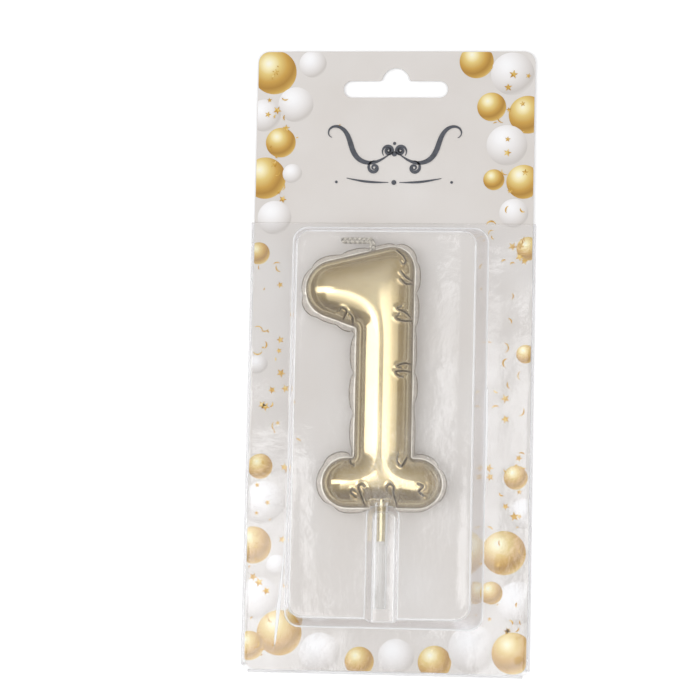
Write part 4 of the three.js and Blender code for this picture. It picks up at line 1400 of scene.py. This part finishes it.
class CANDLEPACK_OT_wick(bpy.types.Operator):
    """Braids the wick from its folded end down to the pick"""

    bl_idname = "candle_pack.wick"
    bl_label = "Braid wick"

    def execute(self, context):
        sizes = context.scene.wick_sizes
        numeral = context.scene.numeral_sizes
        place = candle_place(numeral)
        route, run, end = wick_route(*place, numeral)
        points, walls, caps, deep = braid(route, run, sizes)
        core, wall, cap = tube(end, sizes.gilt / MM / 2, 24)
        first, last = len(points), len(core)
        faces = [walls, wall + first, caps, cap + first]
        material = cotton_material(context.scene.pack_colours)
        piece, used = new_piece("wick_braid", np.vstack([points, core]), faces, material)
        set_value(piece, "gilt", np.append(np.zeros(first), np.ones(last))[used])
        # How deep each point lies between the plies sets the painted shade of the cotton
        set_value(piece, "deep", np.append(deep, np.zeros(last))[used])
        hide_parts("wick_core", "wick_tip")
        stub_x, tip_y, depth = place[0] - STUB_ASIDE, (tip_low[1] + tip_high[1]) / 2, place[2]
        end = np.array([stub_x - 2.0, tip_y + 0.2, depth]) * MM
        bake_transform(piece)
        return {"FINISHED"}


class CANDLEPACK_OT_pick(bpy.types.Operator):
    """Turns the clear pick, its bore filled by the lacquered wick"""

    bl_idname = "candle_pack.pick"
    bl_label = "Turn pick"

    def execute(self, context):
        radius, size = (pick_high[0] - pick_low[0]) / 2, pick_high[1] - pick_low[1]
        # Radii of the rounding at the nose and the mouth, and of the tiny hole at the axis
        nose, mouth, axis = 0.35, 0.2, 0.001
        profile = np.vstack([
            [[axis, 0]],
            arc(radius - nose, nose, nose, -math.pi / 2, 0, 6),
            arc(radius - mouth, size - mouth, mouth, 0, math.pi / 2, 5),
            [[axis, size]],
        ])
        points, faces = turned_profile(profile, 64)
        place = [(pick_low[0] + pick_high[0]) / 2, pick_low[1], (pick_low[2] + pick_high[2]) / 2]
        piece, _ = new_piece("pick_clear_rod", points + place, faces, clear_rod_material())
        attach(piece, "pick")
        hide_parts("clear_pick")
        return {"FINISHED"}


class CANDLEPACK_OT_stage(bpy.types.Operator):
    """Sets the floor, the studio light and the camera"""

    bl_idname = "candle_pack.stage"
    bl_label = "Set stage"

    def execute(self, context):
        # Floor's half width and its level just under the pack
        half, level = 6000.0, -0.05
        corners = [(-half, -half, level), (half, -half, level), (half, half, level), (-half, half, level)]
        material = floor_material(context.scene.pack_colours)
        floor, _ = new_piece("floor", corners, [np.array([[0, 1, 2, 3]])], material)
        self.world(context.scene)
        # Soft boxes: place, width and height in metres, power in watts
        self.soft_box("lamp_left", (-0.692, 0.008, 0.855), 0.89, 0.28, 1.88,
                      fade=("X", [(0.0, 1.0), (0.8, 1.0), (1.0, 0.55)]))
        self.soft_box("lamp_left_low", (-0.34, -0.27, 1.02), 0.45, 0.62, 1.65,
                      fade=("Y", [(0.0, 0.1), (0.4, 0.35), (0.7, 0.75), (0.88, 1.0), (1.0, 1.0)]))
        self.soft_box("lamp_overhead", (0.4515, -0.27, 1.176), 1.12, 0.93, 5.3,
                      fade=("X", [(0.0, 1.0), (0.4, 0.95), (0.7, 0.5), (1.0, 0.3)]))
        self.soft_box("lamp_fill", (0.0, 0.0, 2.0), 2.2, 2.2, 7.5, seen=False)
        self.camera(context.scene)
        return {"FINISHED"}

    def world(self, scene):
        """Studio round the table: a ceiling that glows near the lamps, dim walls, a pale horizon.

        Mirrored rays see that studio, and all others an even grey.
        """
        world = bpy.data.worlds.new("studio")
        scene.world = world
        world.use_nodes = True
        tree = world.node_tree
        tree.nodes.clear()
        way = add(tree, "TexCoord", get="Generated")
        x, y, z = add(tree, "SeparateXYZ", [way]).node.outputs
        near = add(tree, "VectorMath", (way, (-0.1, 0.15, 0.98)), "Value", operation="DOT_PRODUCT")
        sky = add(tree, "ValToRGB", [near], stops=[
            (0.0, "8c8271"), (0.5, "968d78"), (0.7, "a1987f"), (0.85, "b3ac98"), (0.95, "cfccc6"),
            (1.0, "e0dfde"),
        ])
        # Dim left wall, warm right wall, dark near wall and pale horizon
        for axis, start, end, share, code in (
            (x, -0.8, -0.95, 0.55, "5b5045"), (x, 0.3, 0.7, 0.5, "a8986a"), (y, -0.25, -0.8, 0.8, "544633"),
            (z, 0.2, 0.04, 1, "a39c90"),
        ):
            part = add(tree, "MapRange", (axis, start, end, 0, share))
            sky = add(tree, "Mix", {"Factor": part, 6: sky, 7: code}, 2, data_type="RGBA")
        mirrored = add(tree, "LightPath", get="Is Glossy Ray")
        whole = add(tree, "Mix", {"Factor": mirrored, 6: "b8b8ba", 7: sky}, 2, data_type="RGBA")
        add(tree, "OutputWorld", [add(tree, "Background", {"Color": whole, "Strength": 1.0})])

    def soft_box(self, name, place, width, height, power, seen=True, fade=None):
        """A rectangular lamp turned towards the pack, seen in reflections or only lighting the set.

        Its light may fade over its width (X) or height (Y), by a ramp from the low to the high side.
        """
        lamp = bpy.data.lights.new(name, "AREA")
        lamp.shape = "RECTANGLE"
        lamp.size = width
        lamp.size_y = height
        lamp.energy = power
        if fade:
            axis, stops = fade
            lamp.use_nodes = True
            tree = lamp.node_tree
            tree.nodes.clear()
            spot = add(tree, "NewGeometry", get="Parametric")
            run = add(tree, "SeparateXYZ", [spot], axis)
            glow = add(tree, "ValToRGB", [run], stops=stops)
            add(tree, "OutputLight", [add(tree, "Emission", {"Strength": glow})])
        holder = bpy.data.objects.new(name, lamp)
        holder.visible_glossy = seen
        self.aim(holder, Vector(place), Vector(), Vector((0, 1, 0)))

    def camera(self, scene):
        """A long lens nearly square above the pack, as the photograph was taken."""
        data = bpy.data.cameras.new("camera")
        data.sensor_width = 36
        data.lens = 137.06
        data.clip_start = 0.05
        camera = bpy.data.objects.new("camera", data)
        roll = math.radians(1.21)
        self.aim(camera, Vector((73.07, -71.57, 800.86)) * MM, Vector((-12.35, 2.9, 1.1)) * MM,
                 Vector((-math.sin(roll), math.cos(roll), 0)))
        scene.camera = camera
        scene.view_settings.view_transform = "Standard"

    def aim(self, holder, place, target, up):
        """Sets a lamp or camera at a place, looking at a target with its upper side towards up."""
        back = (place - target).normalized()
        right = up.cross(back).normalized()
        holder.location = place
        holder.rotation_euler = Matrix((right, back.cross(right), back)).transposed().to_euler()
        bpy.context.scene.collection.objects.link(holder)


class CANDLEPACK_PT_panel(bpy.types.Panel):
    """Sizes, colours and steps of the candle pack"""

    bl_idname = "CANDLEPACK_PT_panel"
    bl_label = "Candle Pack"
    bl_space_type = "VIEW_3D"
    bl_region_type = "UI"
    bl_category = "Candle Pack"

    def draw(self, context):
        for step in STEPS:
            self.layout.operator(step.bl_idname)
        for name, group in GROUPS.items():
            box = self.layout.box()
            settings = getattr(context.scene, name)
            for prop in group.__annotations__:
                box.prop(settings, prop)


STEPS = (
    CANDLEPACK_OT_stage, CANDLEPACK_OT_card, CANDLEPACK_OT_print, CANDLEPACK_OT_numeral,
    CANDLEPACK_OT_wick, CANDLEPACK_OT_pick, CANDLEPACK_OT_blister,
)
GROUPS = {
    "blister_sizes": BlisterSizes,
    "numeral_sizes": NumeralSizes,
    "wick_sizes": WickSizes,
    "pack_colours": PackColours,
}


def register():
    for group in (*GROUPS.values(), *STEPS, CANDLEPACK_PT_panel):
        bpy.utils.register_class(group)
    for name, group in GROUPS.items():
        setattr(bpy.types.Scene, name, PointerProperty(type=group))


def unregister():
    for name in GROUPS:
        delattr(bpy.types.Scene, name)
    for group in reversed((*GROUPS.values(), *STEPS, CANDLEPACK_PT_panel)):
        bpy.utils.unregister_class(group)


def main():
    register()
    bpy.ops.candle_pack.stage()
    bpy.ops.candle_pack.card()
    bpy.ops.candle_pack.print()
    bpy.ops.candle_pack.numeral()
    bpy.ops.candle_pack.wick()
    bpy.ops.candle_pack.pick()
    bpy.ops.candle_pack.blister()


if __name__ == "__main__":
    main()
